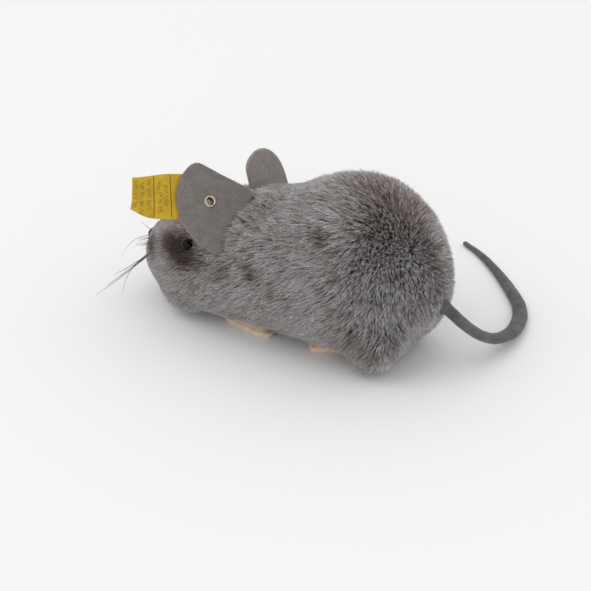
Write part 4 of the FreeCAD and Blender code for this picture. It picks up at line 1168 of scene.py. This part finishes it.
def nose_shape(p):
    """A rounded wedge, with a groove down the middle and a nostril hollow to each side."""
    groove = 0.1 * np.exp(-((p[:, 0] / 0.16) ** 2)) * ramp(-p[:, 2], -0.3, 0.6) * ramp(-p[:, 1], 0, 0.5)
    nostrils = [np.linalg.norm(p - unit([sign * 0.55, -0.8, -0.15]), axis=1) for sign in SIDES.values()]
    hollow = sum(np.exp(-((away / 0.28) ** 2)) for away in nostrils)
    return 1 - groove - 0.16 * hollow - 0.12 * ramp(-p[:, 2], 0.2, 1.0) * np.abs(p[:, 0])


def make_nose():
    """A satin nose pad with a fine leathery grain."""
    satin = grained("nose_leather", (22, 19, 19), 0.42, ((0.7,), [(0.35, (16, 13, 13)), (0.7, (36, 32, 32))]),
                    gloss=((0.4,), [(0.3, 0.32), (0.7, 0.55)]), Specular_IOR_Level=0.3)
    p = Pattern(satin)
    p.bumped(p.voronoi(0.28), 0.05, 0.7)
    low, high = box_mm("nose")
    thing = ball("nose_pad", (low + high) / 2 + [0, 0.5, 0], (high - low) / 2 * [1.06, 1.15, 1.06],
                 nose_shape, [satin])
    fit_out(thing, "nose")
    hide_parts("nose")


# Whiskers of one side: root, reach, how far the middle bows, and thickness at the root.
WHISKERS = [((15.2, -47.6, 23.8), (6.0, -23.5, -23.2), (0.5, -0.8, -1.4), 0.42),
            ((15.4, -47.2, 24.1), (1.9, -18.8, -15.6), (0.7, -0.6, -1.2), 0.40),
            ((15.3, -47.5, 23.9), (3.9, -20.6, -19.8), (0.4, -0.5, -0.6), 0.34),
            ((15.2, -47.8, 23.4), (3.6, -13.2, -20.2), (0.2, -3.6, 0.6), 0.36),
            ((2.2, -58.4, 19.7), (12.4, -5.4, -4.6), (0.0, -1.6, 3.0), 0.22),
            ((1.4, -58.6, 20.6), (3.4, -3.6, 5.2), (0.0, -0.4, 0.2), 0.22)]


def tube(points, radii, sides, start):
    """Points and faces of a tapered tube along points; start is the first point's number."""
    along = unit(np.gradient(points, axis=0))
    side = unit(np.cross(along, [0.3, 0.2, 1.0]))
    other = np.cross(along, side)
    rows = []
    for k in range(sides):
        angle = 2 * math.pi * k / sides
        rows.append(points + (side * math.cos(angle) + other * math.sin(angle)) * radii[:, None])
    faces = [tuple(start + i for i in face) for face in capped_faces(len(points), sides)]
    return np.stack(rows, 1).reshape(-1, 3), faces


def make_whiskers():
    """Long bristles, and a tuft of fine short ones around their roots."""
    bristle = bristle_material()
    rng = np.random.default_rng(23)
    tuft = []
    for _ in range(30):
        root = np.array([14.6, -49.2, 24.0]) + rng.normal(0, 1.0, 3) * [0.5, 1.9, 1.7]
        reach = unit(np.array([0.45, -1.0, -0.15]) + rng.normal(0, 0.3, 3)) * rng.uniform(2.4, 5.6)
        tuft.append((root, reach, (0.0, -0.2, 0.3), 0.17))
    t = np.linspace(0, 1, 22)[:, None]
    for side, sign in SIDES.items():
        points, faces = np.zeros((0, 3)), []
        for root, reach, bow, thick in WHISKERS + tuft:
            root, reach, bow = (np.array(v) * [sign, 1, 1] for v in (root, reach, bow))
            line = root + reach * t + bow * 4 * t * (1 - t) * 0.8
            ring, more = tube(line, thick / 2 * (1 - 0.78 * t[:, 0]), 8, len(points))
            points = np.vstack([points, ring])
            faces += more
        thing = make_object(f"whisker_bristles_{side}", points, faces, [bristle])
        fit_out(thing, f"whiskers_{side}")
        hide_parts(f"whiskers_{side}")


# ---------------------------------------------------------------- feet

# The middle of a foot, up to this share of its outline, rises to this height, into the cover.
FOOT_ROOT, FOOT_ROOT_TOP = 0.72, 4.4
TOES = 3


def foot_outline(half_long, half_wide, count):
    """A long rounded sole, toes first along -Y, with a scallop for each toe."""
    points = []
    for k in range(count):
        turn = 2 * math.pi * k / count
        x, y = math.cos(turn), math.sin(turn)
        x = math.copysign(abs(x) ** 0.55, x) * half_wide
        y = math.copysign(abs(y) ** 0.8, y) * half_long
        front = ramp(-y, half_long * 0.55, half_long * 0.95)
        scallop = 0.5 * (1 + math.cos(math.pi * TOES * x / half_wide))
        points.append((x * (1 + 0.06 * front), y + front * 0.55 * (1 - scallop)))
    return np.array(points)


def make_foot(kind, side):
    """A felt sole with grooves between its toes and a raised middle that meets the cover."""
    half_long, half_wide, centre, turn = FEET[kind]
    sign = SIDES[side]
    half = FOOT_THICKNESS / 2
    outline = foot_outline(half_long - 0.1, half_wide, 84)
    shares = [0.06, 0.2, 0.35, 0.5, 0.64, 0.76, 0.85, 0.92, 0.965, 1.0]
    rows = []
    for flat, skin, share, swell in skins(outline, shares, 0.8):
        x, y = flat[:, 0], flat[:, 1]
        height = np.full(len(flat), half + skin * half * swell)
        if skin > 0:
            groove = 0.45 * np.exp(-(((np.abs(x) - half_wide * 0.36) / 0.3) ** 2))
            height += (FOOT_ROOT_TOP - FOOT_THICKNESS) * ramp(FOOT_ROOT + 0.05 - share, 0, 0.1)
            height -= groove * ramp(-y, half_long * 0.45, half_long * 0.62) * swell
        rows.append(np.stack([x, y, height], 1))
    local = np.array(rows).reshape(-1, 3)
    faces = capped_faces(len(rows), len(outline))
    x, y = turned(local[:, 0], local[:, 1], turn * sign)
    points = np.stack([sign * centre[0] + x, centre[1] + y, np.maximum(local[:, 2], 0.02)], 1)
    kinds = [int(np.mean([local[k, 1] for k in face]) < -half_long * 0.5) for face in faces]
    thing = make_object(f"felt_foot_{kind}_{side}", points, faces, [foot_material(), toe_material()],
                        face_material=kinds)
    node = f"foot_{kind}_{side}"
    fit_out(thing, node)
    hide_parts(node)


# ---------------------------------------------------------------- tail

# Centre line of the tail, with its width and thickness.
TAIL = [(0.5, 54, 29.5, 5.4, 3.9), (0.5, 56, 27.5, 5.4, 3.8), (-1.2, 60, 23.4, 5.3, 3.7),
        (-5.5, 64, 17, 5.1, 3.6),
        (-12, 67, 10.8, 5, 3.5), (-20.5, 68.8, 6.2, 5, 3.4), (-31.5, 68.8, 3.4, 5.2, 3.4),
        (-42.5, 66, 2.2, 5.2, 3.2), (-52, 60.8, 1.7, 4.9, 3), (-61, 52.6, 1.5, 4.3, 2.6),
        (-70.2, 42.7, 1.3, 3.5, 2.2), (-78.6, 32, 1.1, 2.6, 1.8), (-84.7, 21.2, 0.9, 1.8, 1.4)]


def make_tail():
    """A flattened, tapering suede strip with a rounded tip."""
    rows = open_curve(TAIL, 150)
    centre = rows[:, :3]
    along = unit(np.gradient(centre, axis=0))
    across = unit(np.cross(along, [0, 0, 1]))
    over = np.cross(across, along)
    sides = 28
    run = np.concatenate([[0], np.cumsum(np.linalg.norm(np.diff(centre, axis=0), axis=1))])
    left = run[-1] - run
    tip = np.maximum(np.sqrt(np.clip(1 - (1 - np.minimum(left, 1)) ** 2, 0.0, 1)), 0.05)
    rings = []
    for k in range(sides):
        turn = 2 * math.pi * k / sides
        c, s = (math.copysign(abs(v) ** 0.9, v) for v in (math.cos(turn), math.sin(turn)))
        half = tip[:, None] / 2 * (1 + 0.03 * math.cos(4 * turn))
        rings.append(centre + (across * rows[:, 3:4] * c + over * rows[:, 4:5] * s) * half)
    grid = np.stack(rings, 1)
    places = grid.reshape(-1, 3)
    bump = 0.07 * soft_noise(places, 2.6, 41) + 0.05 * soft_noise(places, 1.1, 42)
    points = places + unit(grid - centre[:, None]).reshape(-1, 3) * bump[:, None]
    points[:, 2] = np.maximum(points[:, 2], 0.35)
    thing = make_object("suede_tail", points, capped_faces(len(rows), sides), [suede_material()])
    fit_out(thing, "tail")
    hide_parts("tail")
    roots, normals = surface_roots(thing, 9000, 43)
    fuzz("tail_nap", roots, normals, "tail", [(74, 71, 74), (88, 85, 88), (102, 99, 101), (116, 113, 115)],
         0.3, 0.08, 44)
    return centre


# ---------------------------------------------------------------- motor and filling

# Angles between faces, in degrees, above which an edge is bevelled, and above which it stays sharp.
BEVEL_FROM, SHARP_FROM = 38.0, 35.0
SKIN_CLEAR = 1.3


def own_copy(node, name, material):
    """A copy of a CAD node's mesh as a piece of its own, in one material."""
    mesh = NODES[node].data.copy()
    mesh.materials.clear()
    mesh.materials.append(material)
    return linked(name, mesh)


def bevelled(node, material, width):
    """A copy of a CAD node with its edges softened, shown in place of the node."""
    thing = own_copy(node, f"{node}_made", material)
    modify(thing, "WELD", merge_threshold=0.002 * MM)
    modify(thing, "BEVEL", width=width * MM, segments=2, limit_method="ANGLE",
           angle_limit=math.radians(BEVEL_FROM), use_clamp_overlap=True)
    with editing(thing) as mesh:
        for face in mesh.faces:
            face.smooth = True
        for edge in mesh.edges:
            edge.smooth = len(edge.link_faces) == 2 and edge.calc_face_angle(0.0) < math.radians(SHARP_FROM)
    fit_out(thing, node)
    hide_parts(node)


def dress_motor():
    """Every piece of the motor, its frame and its key, in the finish of its slot."""
    brass = brass_material()
    steel = steel_material("steel", (128, 128, 130), (178, 178, 180), 0.22, 0.4, (8, 1, 1))
    blued = steel_material("spring_steel", (46, 52, 70), (78, 84, 104), 0.26, 0.44, (1, 6, 6))
    wheel = steel_material("wheel_tin", (118, 120, 126), (168, 170, 174), 0.3, 0.5, (1, 4, 4))
    tin, nickel, rubber, wood = tin_material(), nickel_material(), rubber_material(), wood_material()
    finishes = {"brass": (brass, 0.07), "steel": (steel, 0.08), "spring_steel": (blued, 0.03),
                "tinplate": (tin, 0.12), "key_metal": (nickel, 0.28), "wheel_tin": (wheel, 0.15),
                "tyre_rubber": (rubber, 0.3), "roller_wood": (wood, 0.35)}
    for node, slot in SLOT_OF.items():
        if slot in finishes:
            material, width = finishes[slot]
            bevelled(node, material, width)


def make_filling():
    """Lumpy stuffing in the head and the rump, kept clear of the skin."""
    material = fibre_material()
    for node in ("head_stuffing", "rump_stuffing"):
        thing = own_copy(node, f"{node}_fibre", material)
        modify(thing, "REMESH", mode="VOXEL", voxel_size=1.1 * MM)
        data = thing.data
        places = np.array([v.co for v in data.vertices]) / MM
        outward = np.array([v.normal for v in data.vertices])
        swell = 0.55 * soft_noise(places, 6.0, 51) + 0.3 * soft_noise(places, 2.4, 52) - SKIN_CLEAR
        places = places + outward * swell[:, None]
        data.vertices.foreach_set("co", (places * MM).astype(np.float32).ravel())
        data.polygons.foreach_set("use_smooth", [True] * len(data.polygons))
        data.update()
        data.materials.clear()
        data.materials.append(material)
        fit_out(thing, node)
        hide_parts(node)


# ---------------------------------------------------------------- camera, floor and light

AZIMUTH, ELEVATION = 122.4, 29.5
TARGET = (4.6, 3.1, 15.0)
DISTANCE, LENS, SENSOR = 0.7, 123.9, 36.0


def looking(azimuth, elevation):
    """Rotation of a camera that looks at its target from an azimuth and an elevation in degrees."""
    a, e = math.radians(azimuth), math.radians(elevation)
    back = Vector((math.sin(a) * math.cos(e), -math.cos(a) * math.cos(e), math.sin(e)))
    right = Vector((math.cos(a), math.sin(a), 0))
    return Matrix((right, back.cross(right), back)).transposed(), back


def make_looker(name, data, azimuth, elevation, distance):
    """A camera or a lamp that looks at the mouse."""
    turn, back = looking(azimuth, elevation)
    thing = linked(name, data)
    thing.matrix_world = Matrix.Translation(Vector(in_metres(TARGET)) + back * distance) @ turn.to_4x4()
    return thing


def make_camera():
    data = bpy.data.cameras.new("camera")
    data.lens, data.sensor_width = LENS, SENSOR
    data.clip_start, data.clip_end = 0.01, 20
    bpy.context.scene.camera = make_looker("camera", data, AZIMUTH, ELEVATION, DISTANCE)


def make_lamp(name, azimuth, elevation, distance, size, power):
    data = bpy.data.lights.new(name, "AREA")
    data.size, data.energy = size, power
    make_looker(name, data, azimuth, elevation, distance)


def make_stage():
    """A plain pale floor under a white sky, with two large soft lamps."""
    floor_material = plain("floor_paper", (243, 243, 243), 0.9, Specular_IOR_Level=0.1)
    side = 3000
    mesh = bpy.data.meshes.new("floor")
    corners = [(-side, -side, 0), (side, -side, 0), (side, side, 0), (-side, side, 0)]
    mesh.from_pydata([tuple(corner) for corner in in_metres(corners)], [], [(0, 1, 2, 3)])
    mesh.materials.append(floor_material)
    floor = linked("floor", mesh)
    world = bpy.data.worlds.new("studio")
    world.use_nodes = True
    sky = world.node_tree.nodes["Background"]
    sky.inputs["Color"].default_value = (1.0, 1.0, 1.0, 1)
    sky.inputs["Strength"].default_value = 0.92
    bpy.context.scene.world = world
    make_lamp("key_light", 60, 58, 2.4, 1.6, 8.0)
    make_lamp("fill_light", 118, 14, 2.4, 1.6, 5.0)
    bpy.context.scene.view_settings.view_transform = "Standard"


# ---------------------------------------------------------------- the whole mouse

make_camera()
make_stage()
for ear_side in EARS:
    make_ear(ear_side)
make_eyelet()
make_label()
make_eyes()
make_nose()
make_whiskers()
for foot_kind in FEET:
    for foot_side in ("left", "right"):
        make_foot(foot_kind, foot_side)
tail_centre = make_tail()
dress_motor()
make_filling()
skin_triangles, skin_normals = make_skin()
make_pile(skin_triangles, skin_normals, list(EARS.values()), tail_centre)
